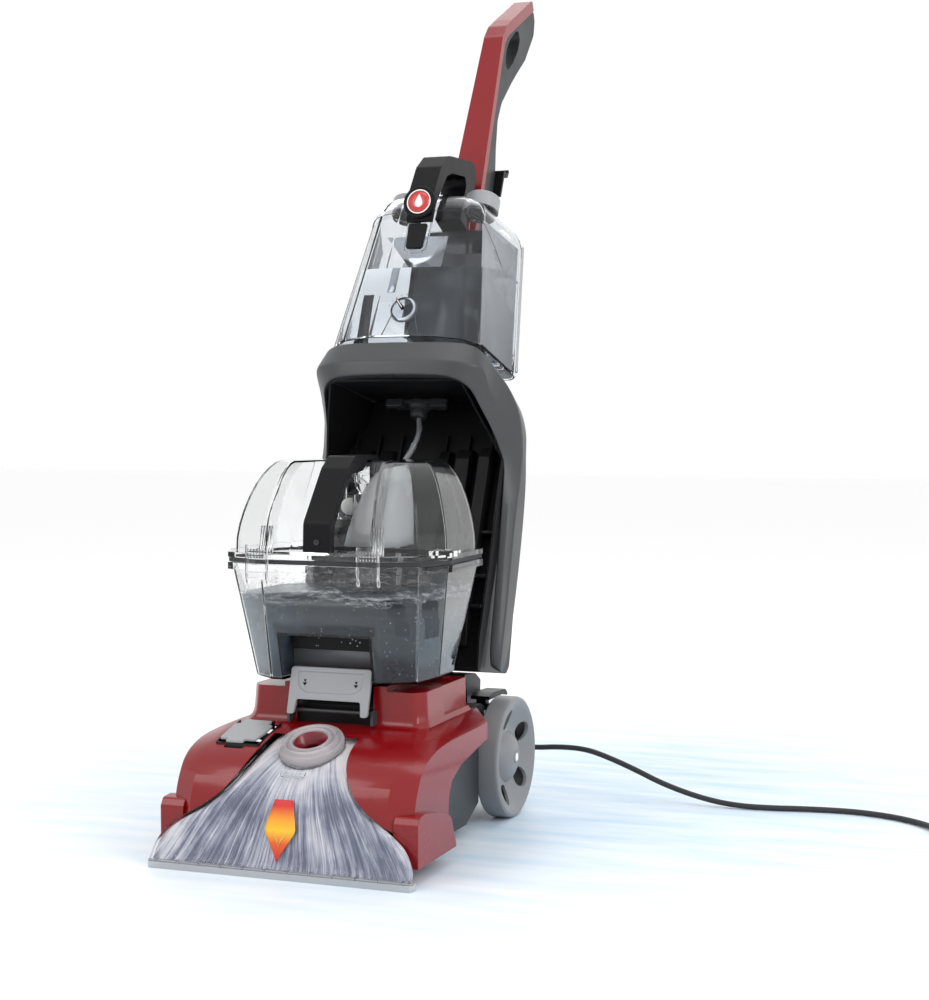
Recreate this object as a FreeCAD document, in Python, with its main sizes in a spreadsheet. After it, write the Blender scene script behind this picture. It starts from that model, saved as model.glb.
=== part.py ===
"""Upright carpet cleaner with a power nozzle, two lift-off tanks and a reclining handle.

The base group is drawn with y = 0 at the front edge of the nozzle lip and z = 0 on the floor.
The handle group and the clean tank are drawn upright, then leaned back about the clean tank's foot.
Both groups are placed so that the row's origin is under the middle of the machine.
"""
import FreeCAD, Part
import math
import os

V = FreeCAD.Vector
TWO_PI = 2 * math.pi

doc = FreeCAD.newDocument("CarpetCleaner")
sheet = doc.addObject("Spreadsheet::Sheet", "Sheet")

DIMENSIONS = {
    # whole machine
    "overall_depth": 818.8, "lean_angle": 25.9, "tank_foot_y": 357, "tank_foot_z": 569,
    "wall": 2.6, "body_gap": 0.4, "screw_radius": 2.2, "screw_head_radius": 4,
    # nozzle
    "lip_width": 306, "lip_depth": 14, "lip_height": 9, "slot_width": 5, "slot_length": 284,
    "nozzle_sheet": 2.4, "channel_depth": 13, "ring_radius": 37, "ring_bore": 19, "ring_height": 8, "ring_tilt": 22,
    # base shell
    "shoulder_half": 114, "side_half": 140, "hood_rear": 300, "deck_height": 141,
    "block_inner": 122, "block_outer": 150, "tower_inner": 46, "tower_outer": 106,
    "tower_front": 150, "deck_front": 151.6, "tower_rear": 292, "tower_top": 184,
    "chassis_half": 119, "chassis_rear_half": 106,
    # running gear
    "wheel_radius": 72.5, "wheel_width": 27, "wheel_face": 140, "axle_y": 370, "axle_radius": 5,
    "wheel_play": 0.06, "wheel_hole_radius": 12, "wheel_hole_circle": 47, "wheel_holes": 5,
    # brush row
    "brush_count": 5, "brush_pitch": 48, "brush_y": 92, "brush_radius": 22.5, "brush_floor": 2,
    "gear_teeth": 20, "pinion_teeth": 12, "gear_module": 2.4, "gear_floor": 50, "gear_height": 8,
    "spindle_radius": 4, "spindle_play": 0.08,
    # drives
    "motor_radius": 44, "fan_radius": 62, "motor_y": 222, "brush_motor_radius": 20,
    # hose port
    "port_x": 81, "port_y": 97, "port_radius": 15, "port_wall": 3, "port_length": 26,
    "port_top": 121, "door_hinge_y": 124.5, "door_hinge_z": 141.5, "door_length": 50, "door_width": 46,
    # recovery tank
    "tub_floor": 188.6, "tub_rim": 316, "rim_height": 8, "lid_base": 331, "lid_top": 432,
    "tank_wall": 2.6, "gasket_height": 5, "strap_width": 33, "grip_width": 112, "release_width": 97, "latch_x": 66,
    # handle group, drawn upright: z is the distance up the lean from the clean tank's foot
    "pivot_y": 395, "pivot_z": 100, "pivot_radius": 8, "pivot_play": 0.06,
    "frame_half": 137, "bay_half": 118, "spine_front": 101,
    "handle_foot": 222, "handle_half_low": 22, "handle_half_high": 14, "seam": 114.2,
    # clean tank
    "clean_height": 190, "clean_top": 212, "cap_x": 50, "cap_y": 45,
    "cap_radius": 22, "cap_height": 20, "neck_radius": 16, "dial_radius": 16, "dial_height": 36,
    "carry_width": 34, "badge_radius": 21,
    # cord
    "cord_radius": 3.5, "coil_ring": 49, "coil_tube": 19,
}
for row, (alias, value) in enumerate(DIMENSIONS.items(), start=1):
    sheet.set("A%d" % row, alias.replace("_", " "))
    sheet.set("B%d" % row, str(value))
    sheet.setAlias("B%d" % row, alias)
doc.recompute()


def cell(alias):
    """The value of one driving dimension."""
    return float(sheet.get(alias))


HALF_DEPTH = cell("overall_depth") / 2
LEAN = math.radians(cell("lean_angle"))
FRONT = V(0, -HALF_DEPTH, 0)
LEAN_FOOT = V(0, cell("tank_foot_y") - HALF_DEPTH, cell("tank_foot_z"))
LEAN_TURN = FreeCAD.Rotation(V(1, 0, 0), -cell("lean_angle"))
YZ_TURN = FreeCAD.Rotation(V(1, 1, 1), 120)
XZ_TURN = FreeCAD.Rotation(V(1, 0, 0), 90)
SUBPARTS = []


# ---------------------------------------------------------------- drawing helpers

def leaned(y_floor, z_floor):
    """A point of the base's drawing, given as (y, z) in the upright's own leaning drawing."""
    dy = y_floor - cell("tank_foot_y")
    dz = z_floor - cell("tank_foot_z")
    return (dy * math.cos(LEAN) - dz * math.sin(LEAN), dy * math.sin(LEAN) + dz * math.cos(LEAN))


def register(item, label, group="base"):
    """Name a finished sub-part and put it in the row's frame."""
    item.Label = label
    if group == "lean":
        item.Placement = FreeCAD.Placement(LEAN_FOOT, LEAN_TURN)
        item.setExpression("Placement.Base.y", "Sheet.tank_foot_y - Sheet.overall_depth / 2")
        item.setExpression("Placement.Base.z", "Sheet.tank_foot_z")
    else:
        item.Placement = FreeCAD.Placement(FRONT, FreeCAD.Rotation())
        item.setExpression("Placement.Base.y", "-Sheet.overall_depth / 2")
    SUBPARTS.append(item)
    return item


def rounded(points, radius=0.0):
    """Edges of a closed outline: straight runs, with an arc of the given radius at each corner."""
    corners = [V(p[0], p[1], 0) for p in points]
    count = len(corners)
    starts, ends, arcs = [], [], []
    for i, corner in enumerate(corners):
        back = corners[i - 1] - corner
        ahead = corners[(i + 1) % count] - corner
        turn = math.pi - back.getAngle(ahead)
        size = points[i][2] if len(points[i]) > 2 else radius
        reach = size * math.tan(turn / 2)
        reach = min(reach, 0.48 * back.Length, 0.48 * ahead.Length)
        if reach < 0.05:
            starts.append(corner)
            ends.append(corner)
            arcs.append(None)
            continue
        entry = corner + back.normalize() * reach
        leave = corner + ahead.normalize() * reach
        bow = reach / math.tan(turn / 2)
        middle_way = (entry + leave) * 0.5 - corner
        depth = math.hypot(bow, reach) - bow
        starts.append(entry)
        ends.append(leave)
        arcs.append(corner + middle_way.normalize() * depth)
    edges = []
    for i in range(count):
        if arcs[i] is not None:
            edges.append(Part.Arc(starts[i], arcs[i], ends[i]))
        after = starts[(i + 1) % count]
        if (after - ends[i]).Length > 1e-6:
            edges.append(Part.LineSegment(ends[i], after))
    return edges


def mirrored(points):
    """An outline given for +x, closed with its mirror image in x = 0."""
    return list(points) + [(-p[0],) + tuple(p[1:]) for p in reversed(points)]


def body_plane(body, role):
    return [item for item in body.Origin.OriginFeatures if item.Role == role][0]


class Piece:
    """A PartDesign body built up from sketches on its own origin planes."""

    def __init__(self, name):
        self.body = doc.addObject("PartDesign::Body", name)
        self.name = name
        self.steps = 0

    def sketch(self, role, edges, offset=None):
        self.steps += 1
        sketch = self.body.newObject("Sketcher::SketchObject", "%s_sketch_%d" % (self.name, self.steps))
        sketch.AttachmentSupport = [(body_plane(self.body, role), "")]
        sketch.MapMode = "FlatFace"
        for edge in edges:
            sketch.addGeometry(edge, False)
        if offset is not None:
            sketch.setExpression("AttachmentOffset.Base.z", str(offset))
        return sketch

    def feature(self, kind, sketch, length, symmetric, reverse):
        feature = self.body.newObject("PartDesign::" + kind, "%s_%s_%d" % (self.name, kind, self.steps))
        feature.Profile = sketch
        feature.SideType = "Symmetric" if symmetric else "One side"
        feature.Reversed = reverse
        feature.setExpression("Length", str(length))
        sketch.Visibility = False
        doc.recompute()
        return feature

    def pad(self, role, edges, length, offset=None, symmetric=False, reverse=False):
        return self.feature("Pad", self.sketch(role, edges, offset), length, symmetric, reverse)

    def pocket(self, role, edges, length, offset=None, symmetric=False, reverse=False):
        before = self.body.Shape.Volume
        feature = self.feature("Pocket", self.sketch(role, edges, offset), length, symmetric, reverse)
        if self.body.Shape.Volume > before - 0.5:
            raise RuntimeError("pocket cuts nothing: " + feature.Name)
        return feature

    def dress(self, kind, size, chosen):
        """Fillet or chamfer the edges for which chosen(edge) is true."""
        tip = self.body.Tip
        names = ["Edge%d" % (i + 1) for i, edge in enumerate(tip.Shape.Edges) if chosen(edge)]
        feature = self.body.newObject("PartDesign::" + kind, "%s_%s" % (self.name, kind))
        feature.Base = (tip, names)
        if kind == "Fillet":
            feature.setExpression("Radius", str(size))
        else:
            feature.setExpression("Size", str(size))
        doc.recompute()
        return feature

    def done(self, label, group="base"):
        return register(self.body, label, group)


def circle(x, y, radius):
    return [Part.Circle(V(x, y, 0), V(0, 0, 1), radius)]


def rectangle(x_low, x_high, y_low, y_high, radius=0.0):
    return rounded([(x_low, y_low), (x_high, y_low), (x_high, y_high), (x_low, y_high)], radius)


def wire_at(edges, turn, origin):
    """A closed wire from flat drawn edges, turned and moved into space."""
    wire = Part.Wire([edge.toShape() for edge in edges])
    wire.Placement = FreeCAD.Placement(origin, turn)
    return wire


def prism(edges, turn, origin, direction):
    """A solid made by moving a flat outline along a direction."""
    return Part.Face(wire_at(edges, turn, origin)).extrude(direction)


def level_loft(sections, ruled=True):
    """A solid through level outlines, each given as (height, points)."""
    wires = [wire_at(rounded(points), FreeCAD.Rotation(), V(0, 0, height)) for height, points in sections]
    return Part.makeLoft(wires, True, ruled)


def shape_part(name, label, shape, group="base"):
    """A sub-part whose shape is worked out directly from the sheet's values."""
    item = doc.addObject("Part::Feature", name)
    item.Shape = shape.removeSplitter()
    return register(item, label, group)


def side_prism(points, half_width, radius=0.0):
    """A solid with a (y, z) outline, as wide on both sides of x = 0."""
    return prism(rounded(points, radius), YZ_TURN, V(-half_width, 0, 0), V(2 * half_width, 0, 0))


def front_prism(points, y_low, y_high, radius=0.0):
    """A solid with an (x, z) outline, from one y to another."""
    return prism(rounded(points, radius), XZ_TURN, V(0, y_low, 0), V(0, y_high - y_low, 0))


def box(x_low, x_high, y_low, y_high, z_low, z_high):
    return Part.makeBox(x_high - x_low, y_high - y_low, z_high - z_low, V(x_low, y_low, z_low))


def rod(radius, length, start, direction):
    return Part.makeCylinder(radius, length, start, direction)


# ---------------------------------------------------------------- base: nozzle and red shell

def front_curve(inset=0.0):
    """The nose of the machine in side view, from the floor up to the deck, moved inwards by inset."""
    nose = [(20, 16), (23, 46), (28, 74), (38, 96), (54, 114), (78, 127), (112, 136), (150, 140.5)]
    return [(y + inset, z - 0.6 * inset) for y, z in nose]


def side_curve(inset=0.0):
    """The lower and narrower nose line where the shell's shoulder meets its side panel."""
    nose = [(34, 16), (37, 46), (42, 74), (50, 93), (62, 109), (82, 120), (112, 127), (150, 130)]
    return [(y + inset, z - 0.6 * inset) for y, z in nose]


def hood_solid(inset):
    """The red shell's outer form, or with an inset its hollow: two side lofts and a middle."""
    rear = cell("hood_rear")
    shoulder = front_curve(inset) + [(rear, cell("deck_height") - inset), (rear, 16)]
    panel = side_curve(inset) + [(rear - 36, 131 - inset), (rear - 36, 16)]
    places = [
        (-cell("side_half") + inset, panel), (-cell("shoulder_half"), shoulder),
        (cell("shoulder_half"), shoulder), (cell("side_half") - inset, panel),
    ]
    wires = [wire_at(rounded(points), YZ_TURN, V(x, 0, 0)) for x, points in places]
    return Part.makeLoft(wires, True, True)


def window_outline(grow=0.0):
    """The nozzle window in front view: half of it, from the lip up to the ring."""
    edge = [(151, 9), (149, 22), (140, 38), (122, 52), (98, 66), (78, 82), (64, 100), (55, 118), (50, 134)]
    return [(x + grow, z) for x, z in edge]


def window_side(outer, inner):
    """A strip that follows the nozzle's front in side view, between two depths behind it."""
    front = [(3, 9), (9, 18), (17, 44), (24, 66), (33, 84), (47, 100), (68, 114), (94, 125), (120, 133)]
    near = [(y + outer, z - 0.3 * outer) for y, z in front[1:]]
    far = [(y + inner, z - 0.6 * inner) for y, z in front[1:]]
    foot_near = (min(front[0][0] + outer, 12), cell("lip_height"))
    foot_far = (min(front[0][0] + inner, 14), cell("lip_height"))
    return [foot_near] + near + list(reversed(far)) + [foot_far]


def make_hood():
    shell = hood_solid(0.0).cut(hood_solid(cell("wall")).cut(box(-200, 200, -10, 400, -10, 15)))
    skirt = [
        (137, 0), (139, 50), (141, 72), (151, 86), (177, 98), (258, 112), (280, 112), (310, 112), (310, 0),
    ]
    shell = shell.cut(side_prism(skirt, 200))
    shell = shell.cut(box(-200, 200, 0, 400, 0, 16.5))
    opening = mirrored(window_outline(0.5))
    opening[0] = (opening[0][0], 0)
    opening[-1] = (opening[-1][0], 0)
    shell = shell.cut(front_prism(opening, -20, 128))
    half_gap = cell("tower_inner")
    shell = shell.cut(box(-half_gap, half_gap, cell("deck_front"), 400, 100, 200))
    centre, out = ring_frame()
    shell = shell.cut(rod(cell("ring_radius") + 0.5, 60, centre - out * 20, out))
    block_side = [(27, 19), (26, 62), (31, 70), (44, 72), (80, 66), (113, 58), (120, 54), (137, 23)]
    tower_plan = [(46, 150), (96, 150, 8), (106, 162, 6), (106, 292), (46, 292)]
    for side in (-1, 1):
        near, far = side * cell("block_inner"), side * cell("block_outer")
        block = prism(rounded(block_side, 4), YZ_TURN, V(near, 0, 0), V(far - near, 0, 0))
        hollow = box(min(near, far) + 3, max(near, far) - 3, 34, 120, 22, 52)
        shell = shell.fuse(block).cut(hollow.cut(hood_solid(0.0)))
        plan = [(side * p[0],) + tuple(p[1:]) for p in tower_plan]
        low = cell("deck_height") - 3
        tower = prism(rounded(plan), FreeCAD.Rotation(), V(0, 0, low), V(0, 0, cell("tower_top") - low))
        x_low = min(side * (cell("tower_inner") + 3), side * (cell("tower_outer") - 3))
        x_high = max(side * (cell("tower_inner") + 3), side * (cell("tower_outer") - 3))
        shell = shell.fuse(tower)
        shell = shell.cut(box(x_low, x_high, 154, 289, 120, cell("tower_top") - 3))
    shell = shell.cut(box(-127.5, 127.5, 61.6, 122.4, 43.6, 64))
    port = rod(cell("port_radius") + cell("port_wall") + 0.4, 60, V(-cell("port_x"), cell("port_y"), 90), V(0, 0, 1))
    shell = shell.cut(port)
    door_half = cell("door_width") / 2 + 1
    door_well = box(
        -cell("port_x") - door_half, -cell("port_x") + door_half,
        cell("door_hinge_y") - cell("door_length") - 1, cell("door_hinge_y") + 4, 123.5, 160,
    )
    shell = shell.cut(door_well)
    shape_part("Hood", "hood_shell", shell)


def ring_frame():
    """Centre of the nozzle ring's foot and the way its axis points."""
    tilt = math.radians(cell("ring_tilt"))
    return V(0, 90, 124), V(0, -math.sin(tilt), math.cos(tilt))


def make_nozzle():
    outline = mirrored(window_outline())
    sheet_part = side_prism(window_side(0, cell("nozzle_sheet")), cell("lip_width") / 2)
    window = sheet_part.common(front_prism(outline, -20, 200))
    centre, out = ring_frame()
    depth = 7
    window = window.fuse(rod(cell("ring_radius"), cell("ring_height") + 3 + depth, centre - out * depth, out))
    window = window.cut(rod(cell("ring_bore"), 60, centre - out * 20, out))
    window = window.cut(rod(cell("ring_radius") - 6, 8, centre + out * 7, out))
    shape_part("Window", "nozzle_window", window)

    behind = cell("channel_depth")
    back = side_prism(window_side(behind, behind + cell("nozzle_sheet")), cell("lip_width") / 2)
    narrower = mirrored([(min(x - 4, 119.5), z - 6 if z > 12 else z) for x, z in window_outline()])
    back = back.common(front_prism(narrower, -20, 200)).cut(box(-60, 60, 60, 200, 90, 200))
    shape_part("NozzleBack", "nozzle_back", back)

    lip = Piece("Lip")
    half = cell("lip_width") / 2
    lip.pad("XY_Plane", rounded([(-half, 0), (half, 0), (half, 14), (-half, 14)], 3), "Sheet.lip_height")
    slot_half = cell("slot_length") / 2
    slot_front = 7.0
    slot_rear = slot_front + cell("slot_width")
    lip.pocket(
        "XY_Plane", rectangle(-slot_half, slot_half, slot_front, slot_rear, 2), "Sheet.lip_height + 2",
        offset="Sheet.lip_height + 1",
    )
    lip.dress("Chamfer", 1.2, lambda edge: edge.Length > 250 and edge.BoundBox.ZMax < 1 and edge.BoundBox.YMax < 1)
    lip.done("nozzle_lip")


def make_deck():
    """The black deck between the red towers: duct from the nozzle and seat of the dirty water tank."""
    deck = Piece("Deck")
    half = cell("tower_inner") - 0.5
    side = [(152, 118), (292, 118), (292, 184), (160, 184), (152, 160)]
    deck.pad("YZ_Plane", rounded(side, 4), 2 * half, symmetric=True)
    deck.pocket("XY_Plane", rectangle(-30, 30, 168, 216, 8), 80, offset=200)
    deck.pocket("XY_Plane", rectangle(-34, 34, 226, 280, 8), 40, offset=200)
    duct = [(110, 121), (124, 126), (154, 135), (154, 119), (130, 112), (114, 109)]
    deck.pad("YZ_Plane", rounded(duct, 2), 60, symmetric=True)
    passage = [(100, 117), (124, 123.6), (166, 134), (166, 122), (130, 114.6), (108, 108)]
    deck.pocket("YZ_Plane", rounded(passage, 1), 54, symmetric=True)
    deck.done("tank_deck")


def make_chassis():
    chassis = Piece("Chassis")
    front = [(127, 14), (250, 14), (292, 32), (292, 111), (262, 111), (178, 96), (153, 84), (143, 70), (127, 70)]
    chassis.pad("YZ_Plane", rounded(front, 2), "2 * Sheet.chassis_half", symmetric=True)
    rear = [(250, 20), (290, 30), (330, 44), (420, 44), (436, 60), (436, 118), (250, 118)]
    chassis.pad("YZ_Plane", rounded(rear, 2), "2 * Sheet.chassis_rear_half", symmetric=True)
    chassis.pocket("XY_Plane", rectangle(-115, 115, 131, 286, 6), 200, offset=18 + 200, reverse=False)
    chassis.pocket("XY_Plane", rectangle(-44, 44, 284, 432, 6), 80, offset=50 + 80)
    chassis.pocket("XY_Plane", rectangle(-21.4, 21.4, 120, 134), 60, offset=43.6 + 60)
    for side in (-1, 1):
        inner, outer = sorted((side * 49, side * 78))
        chassis.pocket("XY_Plane", rectangle(inner, outer, 352, 440), 100, offset=48 + 100)
    chassis.pocket("YZ_Plane", circle(cell("axle_y"), cell("wheel_radius"), cell("axle_radius") + 0.05), 400, symmetric=True)
    hole = circle(cell("pivot_y"), cell("pivot_z"), cell("pivot_radius") + cell("pivot_play"))
    chassis.pocket("YZ_Plane", hole, 20, offset=97)
    chassis.pocket("YZ_Plane", hole, 20, offset=-97, reverse=True)
    for x, y in screw_places():
        chassis.pocket("XY_Plane", circle(x, y, cell("screw_head_radius") + 0.2), 2.5, offset=13.9, reverse=True)
        chassis.pocket("XY_Plane", circle(x, y, cell("screw_radius") + 0.1), 6, offset=13.9, reverse=True)
    for side in (-1, 1):
        for x in (84.5, 101.5):
            ear = [(371, 117), (386, 117), (382, 134), (374, 134)]
            chassis.pad("YZ_Plane", rounded(ear, 1), 3, offset=x * side, symmetric=True)
        chassis.pad("YZ_Plane", circle(378, 130, 2), 20, offset=93 * side, symmetric=True)
    chassis.done("base_chassis")


def screw_places():
    return [(x, y) for x in (-105, 105) for y in (140, 240)]


# ---------------------------------------------------------------- base: brush drive and motors

def gear_outline(teeth, centre, first_angle):
    """A closed outline of straight-sided teeth with some backlash, with a tooth at first_angle."""
    pitch = cell("gear_module") * teeth / 2
    root, tip = pitch - 1.05 * cell("gear_module"), pitch + 0.8 * cell("gear_module")
    step = TWO_PI / teeth
    points = []
    for tooth in range(teeth):
        middle = first_angle + tooth * step
        for share, radius in ((-0.33, root), (-0.105, tip), (0.105, tip), (0.33, root)):
            angle = middle + share * step
            points.append((centre[0] + radius * math.cos(angle), centre[1] + radius * math.sin(angle)))
    return points


def brush_places():
    count = int(cell("brush_count"))
    return [(i - (count - 1) / 2) * cell("brush_pitch") for i in range(count)]


def pinion_y():
    return cell("brush_y") + cell("gear_module") * (cell("gear_teeth") + cell("pinion_teeth")) / 2


def make_brushes():
    top = cell("gear_floor") + cell("gear_height")
    teeth = int(cell("gear_teeth"))
    for number, x in enumerate(brush_places(), start=1):
        name = "Brush%d" % number
        first_angle = 0.0 if number % 2 else math.pi / teeth
        brush = Piece(name)
        y = cell("brush_y")
        brush.pad("XY_Plane", circle(x, y, cell("brush_radius")), 32, offset="Sheet.brush_floor")
        brush.pocket("XY_Plane", circle(x, y, 9), 26, offset=28, reverse=False)
        brush.pad("XY_Plane", circle(x, y, cell("brush_radius") - 0.5), 7, offset=33)
        brush.pad("XY_Plane", circle(x, y, cell("spindle_radius")), "Sheet.gear_floor - 39", offset=39.5)
        edges = rounded(gear_outline(teeth, (x, y), first_angle))
        brush.pad("XY_Plane", edges, "Sheet.gear_height", offset="Sheet.gear_floor")
        brush.done("scrub_brush_%d" % number)
    pinion = Piece("Pinion")
    teeth = int(cell("pinion_teeth"))
    edges = rounded(gear_outline(teeth, (0, pinion_y()), math.pi / teeth))
    pinion.pad("XY_Plane", edges, "Sheet.gear_height", offset="Sheet.gear_floor")
    pinion.pad("XY_Plane", circle(0, pinion_y(), cell("spindle_radius")), 14, offset=top - 0.5)
    pinion.done("drive_pinion")


def make_brush_housing():
    low, high = cell("gear_floor") - 6, cell("gear_floor") + cell("gear_height") + 5
    y = cell("brush_y")
    half = 127
    plan = mirrored([(half, y - 30), (half, y + 30), (21, y + 30), (21, pinion_y() + 20)])
    housing = Piece("BrushHousing")
    housing.pad("XY_Plane", rounded(plan, 2), high - low, offset=low)
    room = 27.5
    cavity = mirrored([
        (half - 2.5, y - room), (half - 2.5, y + room), (18.2, y + room), (18.2, pinion_y() + 17.4),
    ])
    housing.pocket("XY_Plane", rounded(cavity, 1.5), high - low - 6, offset=high - 3)
    bore = cell("spindle_radius") + cell("spindle_play")
    for x in brush_places():
        housing.pocket("XY_Plane", circle(x, y, bore), 5, offset=low + 4)
    housing.pocket("XY_Plane", circle(0, pinion_y(), bore), 5, offset=high + 1)
    housing.done("brush_housing")


def make_motors():
    top = cell("gear_floor") + cell("gear_height") + 5
    motor = Piece("BrushMotor")
    y = pinion_y()
    motor.pad("XY_Plane", circle(0, y, cell("brush_motor_radius")), 34, offset=top + 0.3)
    motor.pocket("XY_Plane", circle(0, y, cell("spindle_radius") + cell("spindle_play")), 12, offset=top + 11)
    motor.pad("XY_Plane", circle(0, y, 12), 5, offset=top + 34)
    motor.dress("Fillet", 2, lambda edge: abs(edge.BoundBox.ZMin - (top + 34.3)) < 0.1 and edge.Length > 100)
    motor.done("brush_motor")

    y = cell("motor_y")
    fan = Piece("SuctionMotor")
    fan.pad("XY_Plane", circle(0, y, cell("motor_radius")), 46, offset=21)
    fan.pad("XY_Plane", circle(0, y, cell("fan_radius")), 42, offset=66)
    fan.pad("XY_Plane", circle(0, y, 22), 9, offset=107)
    fan.dress("Fillet", 5, lambda edge: edge.Length > 380)
    fan.pocket("XY_Plane", circle(0, y, cell("motor_radius") - 6), 80, offset=20, reverse=True)
    fan.done("suction_motor")

    pump = Piece("Pump")
    pump.pad("XY_Plane", rectangle(66, 104, 164, 200, 4), 34, offset=18.4)
    pump.pad("XY_Plane", circle(85, 182, 14), 30, offset=52)
    pump.pad("YZ_Plane", circle(182, 70, 4), 14, offset=96)
    pump.done("solution_pump")


# ---------------------------------------------------------------- base: wheels, pedals, levers, door

def make_wheels():
    """A dished wheel: rim, bowl towards a domed hub, and round holes; one each side of the axle."""
    radius, width, face = cell("wheel_radius"), cell("wheel_width"), cell("wheel_face")
    bore = cell("axle_radius") + cell("wheel_play")
    inner = face - width
    profile = [
        (bore, inner + 2), (14, inner + 2), (18, inner + 8), (radius - 8, inner + 8), (radius - 6, inner),
        (radius - 1.5, inner), (radius, inner + 2), (radius, face - 3), (radius - 4, face),
        (radius - 7, face), (31, face - 13), (29, face - 12), (20, face - 5), (8, face - 1.6), (bore, face - 1.4),
    ]
    for side, label in ((1, "wheel_right"), (-1, "wheel_left")):
        points = [(cell("axle_y") + r, side * x) for r, x in profile]
        ring = Part.Face(Part.Wire([edge.toShape() for edge in rounded([(p[1], p[0]) for p in points])]))
        ring.Placement = FreeCAD.Placement(V(0, 0, cell("wheel_radius")), FreeCAD.Rotation())
        solid = ring.revolve(V(0, cell("axle_y"), cell("wheel_radius")), V(1, 0, 0), 360)
        holes = int(cell("wheel_holes"))
        for i in range(holes):
            angle = math.radians(31) + i * TWO_PI / holes
            y = cell("axle_y") + cell("wheel_hole_circle") * math.cos(angle)
            z = cell("wheel_radius") + cell("wheel_hole_circle") * math.sin(angle)
            solid = solid.cut(rod(cell("wheel_hole_radius"), 400, V(-200, y, z), V(1, 0, 0)))
        shape_part("Wheel_" + label, label, solid)

    axle = Piece("Axle")
    half = cell("wheel_face") - 0.8
    axle.pad("YZ_Plane", circle(cell("axle_y"), cell("wheel_radius"), cell("axle_radius")), 2 * half, symmetric=True)
    axle.dress("Chamfer", 1, lambda edge: edge.Length > 20)
    axle.done("wheel_axle")


def make_pedals():
    """Foot pedals beside the wheels: power on the right, handle release on the left."""
    side_view = [(368, 139.5), (368, 143.5), (384, 147), (428, 145), (436, 139), (434, 136.5), (420, 140)]
    for side, label in ((1, "power_pedal"), (-1, "recline_pedal")):
        pedal = Piece("Pedal_" + label)
        pedal.pad("YZ_Plane", rounded(side_view, 1), 24, offset=93 * side, symmetric=True)
        foot = [(372, 139.6), (384, 139.6), (384, 126), (372, 126)]
        pedal.pad("YZ_Plane", rounded(foot, 1), 12, offset=93 * side, symmetric=True)
        pedal.pocket("YZ_Plane", circle(378, 130, 2.06), 60, offset=93 * side, symmetric=True)
        pedal.done(label)


def make_rear_cover():
    """The dark cover behind the deck, between the handle's pivot arms, with the exhaust slots."""
    cover = Piece("RearCover")
    side = [(294, 118.5), (432, 118.5), (438, 126), (430, 134), (352, 146), (294, 146)]
    cover.pad("YZ_Plane", rounded(side, 3), 92, symmetric=True)
    inner = [(298, 110), (428, 110), (428, 128), (351, 142.6), (298, 142.6)]
    cover.pocket("YZ_Plane", rounded(inner), 86, symmetric=True)
    for i in range(6):
        y = 362 + 9 * i
        cover.pocket("XY_Plane", rectangle(-30, 30, y, y + 4, 1.5), 60, offset=180)
    wing = [(306, 118.5), (350, 118.5), (350, 136), (338, 140), (306, 140)]
    for side in (-1, 1):
        cover.pad("YZ_Plane", rounded(wing, 3), 60, offset=75 * side, symmetric=True)
        wing_room = rectangle(304, 347.6, 110, 133, 3)
        cover.pocket("YZ_Plane", wing_room, 54, offset=75 * side, symmetric=True)
    cover.done("rear_cover")


def make_release_handle():
    """The wide grey lever in front of the dirty water tank, hinged at its two feet."""
    handle = Piece("ReleaseHandle")
    half = cell("release_width") / 2
    panel = [(131, 166), (137, 164), (146, 196), (150, 203), (142, 203), (133, 196)]
    handle.pad("YZ_Plane", rounded(panel, 2), 2 * half, symmetric=True)
    for side in (-1, 1):
        leg = [(132, 168), (138, 168), (146, 158), (146, 151), (138, 151), (132, 156)]
        handle.pad("YZ_Plane", rounded(leg, 1.5), 9, offset=side * (half - 4.5), symmetric=True)
    handle.pocket("YZ_Plane", circle(141, 155, 2.06), 200, symmetric=True)
    handle.done("release_handle")

    pin = Piece("ReleasePin")
    pin.pad("YZ_Plane", circle(141, 155, 2), 2 * half + 7, symmetric=True)
    for side in (-1, 1):
        ear = [(136, 141.5), (149.5, 141.5), (149.5, 158), (138, 158)]
        pin.pad("YZ_Plane", rounded(ear, 1), 3, offset=side * (half + 2), symmetric=True)
    pin.done("release_bracket")


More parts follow.
